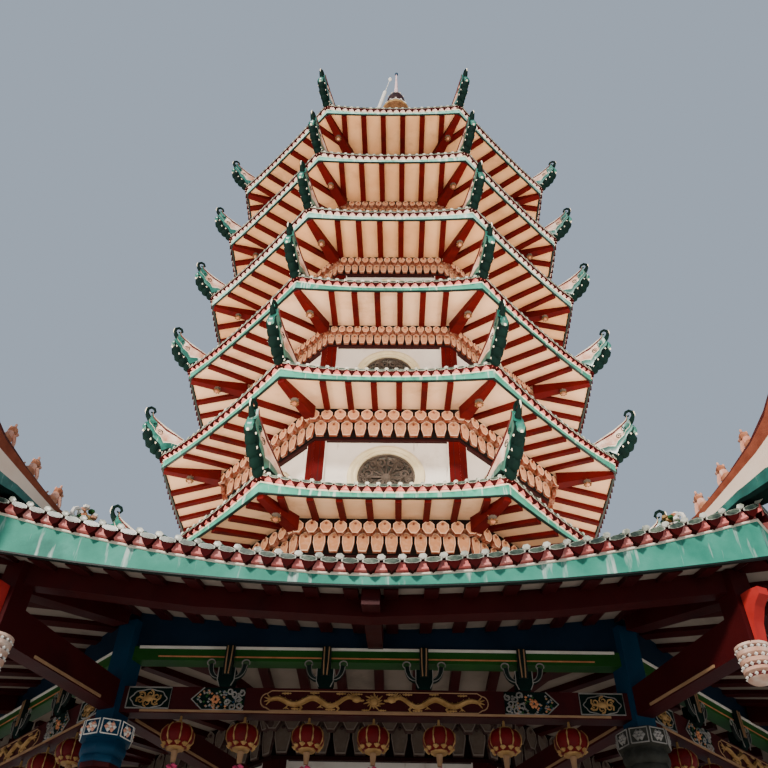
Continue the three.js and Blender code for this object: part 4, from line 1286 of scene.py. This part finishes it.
def porch_ridges():
    """The porch's hip ridges with their beasts and blooms, and the moulding at the tower."""
    base, eave = PORCH["bottom"], PORCH["eave"]
    points = slope_points(eave, PORCH_WALL, base + HIP_FOOT, RIDGE_TOP, PORCH_BED["straight"],
                          PORCH_BED["steepness"], PORCH["lift_top"], 20)
    corner, foot = eave * TO_CORNER, base + HIP_FOOT + PORCH["lift_top"]
    body = []
    for a, z, up in reversed(points):
        tall = 0.27 + 0.15 * max(0.0, 1 - (eave - a) / 0.6)
        body.append(((a * TO_CORNER, z + up), (a * TO_CORNER - 0.03, z + up + tall)))
    ridge = hip_ridge("porch_hip_ridges", body, corner, foot, 0.13, bands=PORCH_BANDS,
                      finishes=PORCH_RIDGE, **RIDGE_HOOK)
    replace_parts(ridge, "porch_ridges")
    collar("porch_collar", PORCH_WALL - 0.1, 7.60, (PORCH_WALL + 0.16, PORCH_WALL + 0.13), (7.86, 7.90))
    crest = [top for _, top in body] + [top for _, top in ridge_end(corner, foot, **RIDGE_HOOK)]
    radii, heights = zip(*sorted(crest))

    def on_crest(radius):
        return float(np.interp(radius, radii, heights)) - 0.02

    beasts = Shape()
    for radius in BEAST["radii"]:
        seated_beast(beasts, radius, on_crest(radius))
    row("porch_ridge_beasts", beasts, ["clay", "salmon"], **CORNERS)
    bloom = Shape()
    flower_scroll(bloom, BLOOM_RADIUS, on_crest(BLOOM_RADIUS))
    row("porch_ridge_blooms", bloom, ["clay", "gold", "white", "green"], **CORNERS)


def seated_beast(shape, radius, floor):
    """A small seated temple beast that looks up the ridge, on a round base."""
    size = BEAST["size"]

    def spot(inward, up, side=0.0):
        return side * size, -(radius - inward * size), floor + up * size

    def part(inward, up, ball_size, stretch, side=0.0, finish=0):
        shape.ball(spot(inward, up, side), ball_size * size, finish, 8, stretch)

    part(0.0, 0.03, 0.085, (0.9, 1.2, 0.5))
    part(-0.02, 0.09, 0.075, (0.95, 1.05, 0.95))
    part(0.015, 0.16, 0.060, (0.9, 0.85, 1.25), finish=1)
    part(0.035, 0.245, 0.050, (1.0, 1.05, 0.95))
    part(0.085, 0.235, 0.026, (1.0, 1.3, 0.8), finish=1)
    for side in (-1, 1):
        part(0.02, 0.29, 0.018, (0.8, 0.8, 1.4), 0.035 * side, 1)
        leg = [spot(0.04, 0.17, 0.045 * side), spot(0.065, 0.09, 0.05 * side),
               spot(0.06, 0.02, 0.05 * side)]
        shape.tube(leg, [0.022 * size, 0.02 * size, 0.024 * size], 6, 1)
    tail = [spot(-0.08, 0.06), spot(-0.12, 0.12), spot(-0.09, 0.17)]
    shape.tube(tail, [0.02 * size, 0.018 * size, 0.01 * size])


def flower_scroll(shape, radius, floor):
    """A knot of glazed flowers with a rising scroll."""
    for i in range(28):
        out, side = 0.15 * math.sin(2.4 * i) * (1 - 0.02 * i), 0.07 * math.cos(1.9 * i)
        spot = (side, -(radius + out), floor + 0.03 + 0.012 * i)
        shape.ball(spot, 0.05, (0, 1, 3, 2)[i % 4], 6, (1, 1, 0.75))
    spiral = scroll((0, 0.05), -2.2, 1.25, 0.12, 0.6, 12)
    path = [(0, -(radius + 0.12 + dx), floor + 0.16 + dz) for dx, dz in spiral]
    sizes = [0.035] + [0.035 - 0.0018 * i for i in range(len(path))]
    shape.tube([(0, -(radius - 0.02), floor), *path], sizes, 6, 2)


# Porch: frieze, beams, lanterns, columns and corner carvings


def carved_line(shape, points, thick, y, finish):
    shape.tube([(x, y, z) for x, z in points], thick, 4, finish)


def dragon(shape, centre, height, length, face, hand):
    """A gilded dragon in relief: a winding scaled body, a maned head, clawed legs and a flaming tail."""
    steps, depth = 30, face - 0.014
    spine, sizes = [], []
    for i in range(steps + 1):
        t = i / steps
        z = height + 0.058 * math.sin(4.7 * math.pi * t + 0.6) * (0.5 + 0.5 * t)
        spine.append((centre + hand * length * (t - 0.5), depth, z))
        sizes.append(0.012 + 0.024 * math.sin(math.pi * min(1.0, 0.12 + 0.84 * t)) ** 0.7)
    shape.tube(spine, sizes, 6, 0)
    x, _, z = spine[-1]
    shape.ball((x + hand * 0.01, depth, z + 0.014), 0.046, 0, 8, (1.3, 0.6, 0.95))
    shape.ball((x + hand * 0.066, depth, z), 0.026, 0, 8, (1.5, 0.7, 0.7))
    for lean in (0.2, 0.8, 1.4, 2.0):
        mane = [(x - hand * 0.11 * t * math.cos(0.6 * lean), depth, z + 0.02 + 0.085 * math.sin(lean) * t)
                for t in (0, 0.5, 1)]
        shape.tube(mane, [0.013, 0.010, 0.003], 5, 0)
    for share in (0.16, 0.34, 0.56, 0.78):
        x, _, z = spine[round(share * steps)]
        leg = [(x, depth, z - 0.01), (x + hand * 0.04, depth, z - 0.05),
               (x + hand * 0.015, depth, z - 0.082)]
        shape.tube(leg, [0.017, 0.013, 0.010], 5, 0)
        for toe in (-0.035, 0.0, 0.035):
            shape.tube([(x + hand * 0.015, depth, z - 0.078), (x + hand * 0.02 + toe, depth, z - 0.098)],
                       [0.008, 0.003], 4, 0)
    for spot, size in zip(spine[3:-2:2], sizes[3:-2:2]):
        shape.ball((spot[0], depth, spot[2] + size), 0.012, 0, 5, (0.9, 0.6, 1.5))
    x, _, z = spine[0]
    for lean in (-0.9, -0.3, 0.3, 0.9):
        shape.tube([(x, depth, z), (x - hand * 0.085 * math.cos(lean), depth, z + 0.085 * math.sin(lean))],
                   [0.016, 0.004], 5, 0)


def small_cloud(shape, x, z, face, size=1.0):
    for dx, radius in ((-0.045, 0.015), (-0.018, 0.023), (0.015, 0.021), (0.045, 0.014)):
        shape.ball((x + size * dx, face - 0.008, z), size * radius, 0, 5, (1.25, 0.5, 0.75))


MEDALLION = 2.72  # how far the end medallions' middles are from the bay's middle
FLOWER_PANEL = {"near": 1.56, "far": 2.06, "point": 2.20}  # its sides and outer point, the same way
# Places along the bay and over its middle line
CLOUDS = ((1.06, 0.088), (0.72, 0.098), (0.40, 0.092), (0.20, 0.09), (0.93, -0.095), (0.52, -0.098))
LEAVES = ((1.61, -0.07), (1.70, -0.085), (1.60, 0.075), (1.69, 0.055), (1.63, 0.0), (1.76, -0.03),
          (1.74, 0.10))


def frieze():
    """Carved and gilded frieze between the columns."""
    face, low, high = -(COLUMN_RING + FRIEZE["half"]), FRIEZE["bottom"], FRIEZE["top"]
    middle = (low + high) / 2 + 0.006
    lines = Shape()
    lines.block((-2.80, face - 0.014, low + 0.012), (2.80, face + 0.02, low + 0.036), 0)
    lobe = [(1.29 + 0.075 * math.cos(t), middle + 0.085 * math.sin(t))
            for t in np.linspace(-math.pi / 2, math.pi / 2, 9)]
    outline = [(-1.24, middle - 0.118), (1.24, middle - 0.118), *lobe, (1.24, middle + 0.118),
               (-1.24, middle + 0.118), *[(-x, z) for x, z in reversed(lobe)], (-1.24, middle - 0.118)]
    carved_line(lines, outline, 0.008, face - 0.003, 0)
    row("frieze_lines", lines, ["tan"])

    gilt = Shape()
    for hand in (-1, 1):
        dragon(gilt, -hand * 0.73, middle - 0.008, 1.02, face, hand)
        for x, z in CLOUDS:
            small_cloud(gilt, hand * x, middle + z, face)
    gilt.ball((0, face - 0.014, middle), 0.05, 0, 10, (1, 0.6, 1))
    for i, turn in enumerate(turns_of(14)):
        reach = 0.13 if i % 2 else 0.10
        near = (0.05 * math.cos(turn), face - 0.012, middle + 0.05 * math.sin(turn))
        tip = (reach * math.cos(turn + 0.25), face - 0.012, middle + 0.85 * reach * math.sin(turn + 0.25))
        gilt.tube([near, tip], [0.016, 0.004], 5, 0)
    for side in (-1, 1):
        small_cloud(gilt, side * 0.10, middle - 0.10, face, size=0.8)
        for angle in turns_of(6):
            turn = angle + 0.4
            spot = (side * MEDALLION + 0.105 * math.cos(turn), middle + 0.052 * math.sin(turn))
            path = [(x, face - 0.016, z) for x, z in scroll(spot, turn, 1.2 * side, 0.05, 0.7, 9)]
            gilt.tube(path, [0.013 - 0.0007 * j for j in range(len(path))], 4, 0)
        gilt.ball((side * MEDALLION, face - 0.016, middle), 0.045, 0, 8, (1.5, 0.5, 0.9))
    row("frieze_gilding", gilt, ["gold"])

    panels = Shape()
    chance = np.random.RandomState(4)
    for side in (-1, 1):
        x = side * MEDALLION
        panels.block((x - 0.265, face - 0.006, low + 0.044), (x + 0.265, face + 0.02, high - 0.008), 1)
        frame_line = [(x - 0.26, low + 0.05), (x + 0.26, low + 0.05), (x + 0.26, high - 0.014),
                      (x - 0.26, high - 0.014), (x - 0.26, low + 0.05)]
        carved_line(panels, frame_line, 0.009, face - 0.010, 0)
        loop = []
        for a in np.linspace(0, 2 * math.pi, 33):
            swell = 1 + 0.05 * math.cos(8 * a)
            loop.append((x + 0.215 * math.cos(a) * swell, middle + 0.110 * math.sin(a) * swell))
        carved_line(panels, loop, 0.007, face - 0.010, 0)
        near, far, point = (side * FLOWER_PANEL[key] for key in ("near", "far", "point"))
        outline = [(near, low + 0.042), (far, low + 0.042), (point, middle), (far, high - 0.008),
                   (near, high - 0.008)]
        panels.slab(outline, face - 0.008, face + 0.02, 1)
        carved_line(panels, outline[1:4], 0.009, face - 0.012, 0)
        carved_line(panels, outline[:2], 0.006, face - 0.012, 0)
        for i in range(84):
            u, v = chance.rand(2)
            x = 1.59 + 0.55 * u
            reach = 0.118 * min(1.0, (FLOWER_PANEL["point"] - x) / 0.15)
            spot = (side * x, face - 0.010, middle - 0.006 + reach * (2 * v - 1))
            panels.ball(spot, 0.016, (0, 3, 0, 5, 0, 2, 4)[i % 7], 5, (1.1, 0.7, 0.9))
        for turn in turns_of(6):
            spot = (side * 1.91 + 0.035 * math.cos(turn), face - 0.016, middle + 0.035 * math.sin(turn))
            panels.ball(spot, 0.025, 2, 5, (1, 0.6, 1))
        for i, (a, b) in enumerate(LEAVES):
            spiral = scroll((side * a, middle + b), i, 1.1 * side, 0.042, 0.6, 8)
            panels.tube([(u, face - 0.014, v) for u, v in spiral], 0.011, 4, 0)
    row("frieze_panels", panels, ["stone", "dark_teal", "orange", "green", "tan", "blue"])


CORNER_POST = {"half": 0.134, "bottom": 5.045, "top": 6.33}
STRUT_PITCH = 1.21
HANGING_RADIUS = 10.2  # of the carved posts that hang under the porch's corners


def strut(shape, x):
    """A bracket on the beams: a striped upright over a bowl, between two curled arms."""
    face = -(COLUMN_RING + GREEN_BEAM["half"])
    low, high = GREEN_BEAM["bottom"], GREEN_BEAM["top"]
    shape.block((x - 0.055, face - 0.07, low - 0.20), (x + 0.055, face + 0.02, high), 1)
    for side in (-1, 1):
        stripe = [(x + side * 0.030, high - 0.01), (x + side * 0.028, low - 0.02),
                  (x + side * 0.020, low - 0.19)]
        shape.tube([(a, face - 0.074, z) for a, z in stripe], 0.009, 5, 0)
    top, foot = low - 0.11, FRIEZE["top"]
    back = face + 0.12
    shape.loft([[(x - w, face - d, z), (x + w, face - d, z), (x + w, back, z), (x - w, back, z)]
                for w, d, z in ((0.07, 0.02, foot), (0.10, 0.06, foot + 0.07), (0.10, 0.065, top))], 2)
    for side in (-1, 1):
        bowl_edge = [(x + side * 0.072, foot), (x + side * 0.103, foot + 0.07), (x + side * 0.103, top)]
        carved_line(shape, bowl_edge, 0.007, face - 0.064, 3)
        arm = [(x + side * (0.09 + 0.12 * math.sin(1.5 * t)), face - 0.03, foot + 0.10 + 0.17 * t * t)
               for t in (0, 0.2, 0.4, 0.6, 0.8, 1)]
        shape.tube(arm, 0.034, 6, 1)
        for shift in (-0.03, 0.03):
            shape.tube([(a + shift * (0.3 + 0.7 * i / 5), b - 0.026, c - 0.4 * shift * side)
                        for i, (a, b, c) in enumerate(arm)], 0.0042, 5, 3)
        ring = [(x + side * 0.215 + 0.048 * math.cos(a), face - 0.035, foot + 0.295 + 0.042 * math.sin(a))
                for a in np.linspace(-0.5, 5.2, 14)]
        shape.tube(ring, 0.008, 4, 3)


def porch_beams():
    """The beams over the columns with their painted lines, corner posts and struts."""
    half, plate = GREEN_BEAM["half"], PLATE["half"]
    low, high = GREEN_BEAM["bottom"], GREEN_BEAM["top"]
    outer, inner = COLUMN_RING + plate - 0.02, COLUMN_RING - plate
    ring = [(COLUMN_RING - half, low, 0, 0), (COLUMN_RING + half, low, 0, 0),
            (COLUMN_RING + half, high, 0, 1), (outer, high, 0, 1),
            (outer, PLATE["top"] + 0.02, PLATE["lift"], 1),
            (inner, PLATE["top"] + 0.13, 0.6 * PLATE["lift"], 1), (inner, high, 0, 0)]
    beams = ring_piece("porch_ring_beams", ring, ["green", "deep_blue"], 16, PORCH["power"],
                       smooth_below=25)
    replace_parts(beams, "porch_upper_beams")
    lines = Shape()
    face = -(COLUMN_RING + half)
    lines.block((-2.98, face - 0.012, high - 0.028), (2.98, face + 0.02, high + 0.006), 0)
    lines.block((-2.72, face - 0.006, low + 0.040), (2.72, face + 0.02, low + 0.056), 1)
    row("beam_lines", lines, ["white", "orange"], slot="gold_paint")
    corner = COLUMN_RING * TO_CORNER
    half = CORNER_POST["half"]
    low, high = CORNER_POST["bottom"], CORNER_POST["top"]
    post = Shape().block((-half, -corner - half, low), (half, -corner + half, high))
    row("corner_posts", post, ["blue"], **CORNERS)
    struts = Shape()
    for i in range(4):
        strut(struts, STRUT_PITCH * (i - 1.5))
    row("beam_struts", struts, ["tan", "edge", "dark_teal", "stone"])
    bars = Shape()
    tower_corner = (wall_apothem(1) + 0.07) * TO_CORNER
    for out, far, near, z in ((0.106, corner - 0.3, tower_corner + 0.3, 5.195),
                              (0.116, HANGING_RADIUS - 0.45, corner + 0.40, 5.215)):
        for side in (-1, 1):
            bars.block((side * out - 0.008, -far, z), (side * out + 0.008, -near, z + 0.03))
    row("beam_edge_bars", bars, ["tan"], **CORNERS)


LANTERN = {"height": 4.935, "wide": 0.195, "tall": 0.145, "pitch": 0.77, "count": 7}


def lantern(shape, x):
    """A round cloth lantern with gilt ribs, a scalloped gilt collar, a tassel and a silk flower."""
    centre = (x, -COLUMN_RING, LANTERN["height"])
    profile = []
    for turn in np.linspace(0.09 * math.pi, 0.91 * math.pi, 9):
        profile.append((LANTERN["wide"] * math.sin(turn) ** 0.75, -LANTERN["tall"] * math.cos(turn)))
    shape.turned(profile, 14, 0, centre)
    for turn in turns_of(8, 0.5):
        rib = [around(turn, 1.015 * r, centre, h) for r, h in profile[1:-1]]
        shape.tube(rib, [0.005 if j % 2 else 0.012 for j in range(len(rib))], 3, 1)
    for turn in turns_of(10):
        shape.ball(around(turn, 0.145, centre, -0.10), 0.040, 1, 5, (1, 1, 0.8))
    shape.turned([(0.10, -0.15), (0.11, -0.11), (0.06, -0.10)], 9, 1, centre)
    shape.turned([(0.07, 0.12), (0.075, 0.15), (0.02, 0.165), (0.012, 0.24)], 7, 1, centre)
    shape.turned([(0.028, -0.29), (0.040, -0.16), (0.02, -0.15)], 7, 2, centre)
    for i, turn in enumerate(turns_of(7)):
        spot = around(turn, 0.05 if i % 2 else 0.03, centre, -0.325 - 0.02 * (i % 3))
        shape.ball(spot, 0.034, 3, 5, (1, 1, 0.7))


def lanterns():
    shape = Shape()
    for i in range(LANTERN["count"]):
        lantern(shape, LANTERN["pitch"] * (i - (LANTERN["count"] - 1) / 2))
    row("lanterns", shape, ["lantern", "gold", "tan", "rose"])


COLUMN = {  # parts as (radius, height) points, from the ground up
    "foot": [(0.33, 0.602), (0.33, 0.70), (0.30, 0.76), (0.31, 0.84), (0.25, 0.93), (0.22, 0.98)],
    "shaft": [(0.21, 0.95), (0.21, 4.50)],
    "neck": [(0.212, 4.42), (0.235, 4.44), (0.235, 4.50), (0.220, 4.515), (0.235, 4.53), (0.235, 4.585)],
    "capital": [(0.245, 4.58), (0.252, 4.60), (0.252, 4.64), (0.236, 4.665), (0.262, 4.69), (0.274, 4.72),
                (0.274, 4.765), (0.25, 4.80), (0.245, 4.845)],
    "flower_band": [(0.28, 4.84), (0.305, 4.85), (0.305, 5.035), (0.28, 5.045), (0.15, 5.046)],
}
FLOWER_FRAME = {"radius": 0.305, "low": 4.862, "high": 5.024, "middle": 4.943}


def column(name, capital_finishes, replaced, **round_values):
    """A column with a moulded capital under a carved flower band."""
    shape = Shape()
    centre = (0, -COLUMN_RING * TO_CORNER, 0)
    shape.turned(COLUMN["foot"], 24, 1, centre)
    shape.turned(COLUMN["shaft"], 24, 0, centre)
    for part, finish in (("neck", 0), ("capital", 2), ("flower_band", 3)):
        shape.turned(COLUMN[part], 8, finish, centre, start=HALF_TURN)
    reach = FLOWER_FRAME["radius"] * math.cos(HALF_TURN)
    width = FLOWER_FRAME["radius"] * math.sin(HALF_TURN) * 2
    low, high, middle = (FLOWER_FRAME[key] for key in ("low", "high", "middle"))
    for turn in turns_of(8):
        ahead, aside = (math.sin(turn), -math.cos(turn)), (math.cos(turn), math.sin(turn))

        def spot(side, out, z):
            return (ahead[0] * (reach + out) + aside[0] * side, ahead[1] * (reach + out) + aside[1] * side
                    + centre[1], z)

        w = 0.42 * width
        loop = ((-w, low), (w, low), (w, high), (-w, high), (-w, low))
        shape.tube([spot(side, 0.003, z) for side, z in loop], 0.009, 4, 4)
        shape.ball(spot(0, 0.006, middle), 0.022, 4, 5)
        for petal, angle in enumerate(turns_of(6)):
            place = spot(0.044 * math.cos(angle), 0.0, middle + 0.036 * math.sin(angle))
            shape.ball(place, 0.031, 4 + petal % 2, 5)
    piece = row(name, shape, capital_finishes, slot="red_paint", **round_values)
    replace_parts(piece, *replaced)


# Outlines as (radius, height) points
TIERS = [(0.03, 4.886), (0.10, 4.90), (0.135, 4.93), (0.115, 4.97), (0.15, 4.99), (0.155, 5.02),
         (0.125, 5.05), (0.155, 5.07), (0.16, 5.11), (0.13, 5.13), (0.165, 5.16), (0.17, 5.20),
         (0.14, 5.22), (0.175, 5.235), (0.175, 5.262)]
BRACE = [(10.33, 5.24), (10.36, 5.28), (10.39, 5.45), (10.47, 5.60), (10.57, 5.68), (10.57, 5.76),
         (10.45, 5.78), (10.33, 5.78)]
# Height, radius and number of beads
BEAD_RINGS = ((4.95, 0.13, 12), (5.045, 0.145, 14), (5.13, 0.15, 14), (5.215, 0.16, 16))


def hanging_posts():
    """The tiered carvings that hang under the porch's corners, and the braces beside them."""
    drops = Shape()
    centre = (0, -HANGING_RADIUS, 0)
    drops.turned(TIERS, 20, [2 if i % 3 == 2 else 0 for i in range(len(TIERS) - 1)], centre)
    for z, reach, count in BEAD_RINGS:
        for turn in turns_of(count):
            drops.ball(around(turn, reach, centre, z), 0.022, 1, 5)
    row("hanging_carvings", drops, ["flank", "white", "maroon"], **CORNERS)
    brace = Shape().loft([[(x, -r, z) for r, z in BRACE] for x in (-0.065, 0.065)])
    row("corner_braces", brace, ["lit_red"], **CORNERS)


# Ground storey

DOOR = {"sill": 0.602, "top": 3.30, "jamb": 0.87, "half": 0.09, "head": 1.05, "head_top": 3.52}
COPING = ((-0.3, 0.50), (0.03, 0.50), (0.04, 0.53), (0.04, 0.585), (0.02, 0.604), (-0.3, 0.604))


def ground_storey():
    """The ground storey's brackets, pilasters and doorway, and the plinth's coping."""
    bracket_band(1, "porch_bracket")
    pilasters("ground_pilasters", 1, PLINTH["height"] + 0.001, bracket_bottom(1) - 0.056, "porch_red")
    timbers = Shape()
    y, sill, top, half = -(wall_apothem(1) + 0.05), DOOR["sill"], DOOR["top"], DOOR["half"]
    for side in (-1, 1):
        jamb = side * DOOR["jamb"]
        timbers.block((jamb - half, y, sill), (jamb + half, y + 0.09, top))
    timbers.block((-DOOR["head"], y - 0.02, top), (DOOR["head"], y + 0.09, DOOR["head_top"]))
    timbers.block((-0.80, y, sill), (0.80, y + 0.12, 0.66), 1)
    placed("door_frame", timbers, ["door", "stone"])
    ring_piece("plinth_coping", [(PLINTH["apothem"] + out, z, 0, 0) for out, z in COPING], ["stone"])


for storey in TOWER:
    tower_eave(storey)
    bracket_band(storey)
    foot = eave_bottom(storey - 1) + 1.0 if storey > 2 else RIDGE_TOP
    pilasters(f"storey_{storey}_pilasters", storey, foot, bracket_bottom(storey))
    windows(storey)
    tower_ridges(storey)

finial()
leaning_rod()
porch_roof()
porch_ridges()
frieze()
porch_beams()
lanterns()
hanging_posts()
ground_storey()
column("columns", ["porch_red", "stone", "blue", "blue", "white", "salmon"],
       [f"porch_column_{i}" for i in range(2, 9)], **{"Sides": 7, "First side": 1.5})
column("grey_column", ["porch_red", "stone", "grey", "grey", "stone", "stone"], ["porch_column_1"],
       **{"Sides": 1, "First side": 0.5})

# Light, floor and camera

CAMERA = {"place": (0.29, -17.1, 1.6), "pitch": 43.82, "yaw": -1.66, "roll": 1.52, "lens": 36.62}


def aim_camera():
    data = bpy.data.cameras.new("view_from_the_ground")
    data.lens = CAMERA["lens"]
    data.sensor_width = 36.0
    data.clip_end = 500.0
    pitch, yaw, roll = (math.radians(CAMERA[k]) for k in ("pitch", "yaw", "roll"))
    ahead = Vector((math.sin(yaw) * math.cos(pitch), math.cos(yaw) * math.cos(pitch), math.sin(pitch)))
    across = Vector((math.cos(yaw), -math.sin(yaw), 0.0))
    upward = across.cross(ahead)
    right = math.cos(roll) * across + math.sin(roll) * upward
    up = -math.sin(roll) * across + math.cos(roll) * upward
    camera = bpy.data.objects.new("view_from_the_ground", data)
    camera.matrix_world = Matrix((
        (right.x, up.x, -ahead.x, CAMERA["place"][0]), (right.y, up.y, -ahead.y, CAMERA["place"][1]),
        (right.z, up.z, -ahead.z, CAMERA["place"][2]), (0, 0, 0, 1)))
    scene.collection.objects.link(camera)
    scene.camera = camera


KEY = {"turn": (60, 0, -24), "strength": 4.8, "spread": 7.0, "colour": (1.0, 0.94, 0.86)}
PANEL = {"size": 26.0, "away": 19.0, "height": 8.3, "power": 9800.0, "colour": (1.0, 0.84, 0.68)}


def light_the_scene():
    world = bpy.data.worlds.new("studio")
    scene.world = world
    tree = clear_nodes(world)
    back = tree.nodes.new("ShaderNodeBackground")
    back.inputs["Color"].default_value = (0.62, 0.74, 0.90, 1)
    back.inputs["Strength"].default_value = 0.6
    tree.links.new(back.outputs[0], tree.nodes.new("ShaderNodeOutputWorld").inputs[0])
    sun = bpy.data.lights.new("key", "SUN")
    sun.energy, sun.color, sun.angle = KEY["strength"], KEY["colour"], math.radians(KEY["spread"])
    lamp = bpy.data.objects.new("key", sun)
    lamp.rotation_euler = [math.radians(turn) for turn in KEY["turn"]]
    scene.collection.objects.link(lamp)
    for i in range(4):  # warm panels round the tower, over the porch, that light the soffits from below
        panel = bpy.data.lights.new("warm_panel", "AREA")
        panel.energy, panel.color, panel.size = PANEL["power"], PANEL["colour"], PANEL["size"]
        lamp = bpy.data.objects.new("warm_panel", panel)
        angle = i * math.pi / 2
        lamp.location = (PANEL["away"] * math.sin(angle), -PANEL["away"] * math.cos(angle), PANEL["height"])
        lamp.rotation_euler = (math.pi, 0, 0)
        lamp.visible_camera = False
        scene.collection.objects.link(lamp)


def lay_floor():
    mesh = bpy.data.meshes.new("floor")
    half = 150.0
    corners = [(-half, -half, 0), (half, -half, 0), (half, half, 0), (-half, half, 0)]
    mesh.from_pydata(corners, [], [(0, 1, 2, 3)])
    mesh.materials.append(painted("floor", [(0.60, 0.58, 0.55), (0.62, 0.60, 0.57)], 0.9))
    piece = bpy.data.objects.new("floor", mesh)
    scene.collection.objects.link(piece)


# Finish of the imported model's own pieces, by a word in their names
CAD_FINISH = {"walls": "plaster", "plinth": "stone", "steps": "stone", "column": "red",
              "beams": "porch_red", "frame": "porch_red", "door": "plaster", "porch_roof": "board",
              "ridges": "teal", "finial": "gold", "roof": "board", "brackets": "bracket"}
for piece in frame["nodes"].values():
    finish = next(f for key, f in CAD_FINISH.items() if key in piece.name)
    for slot in piece.material_slots:
        slot.material = PAINTS[finish]

aim_camera()
light_the_scene()
lay_floor()
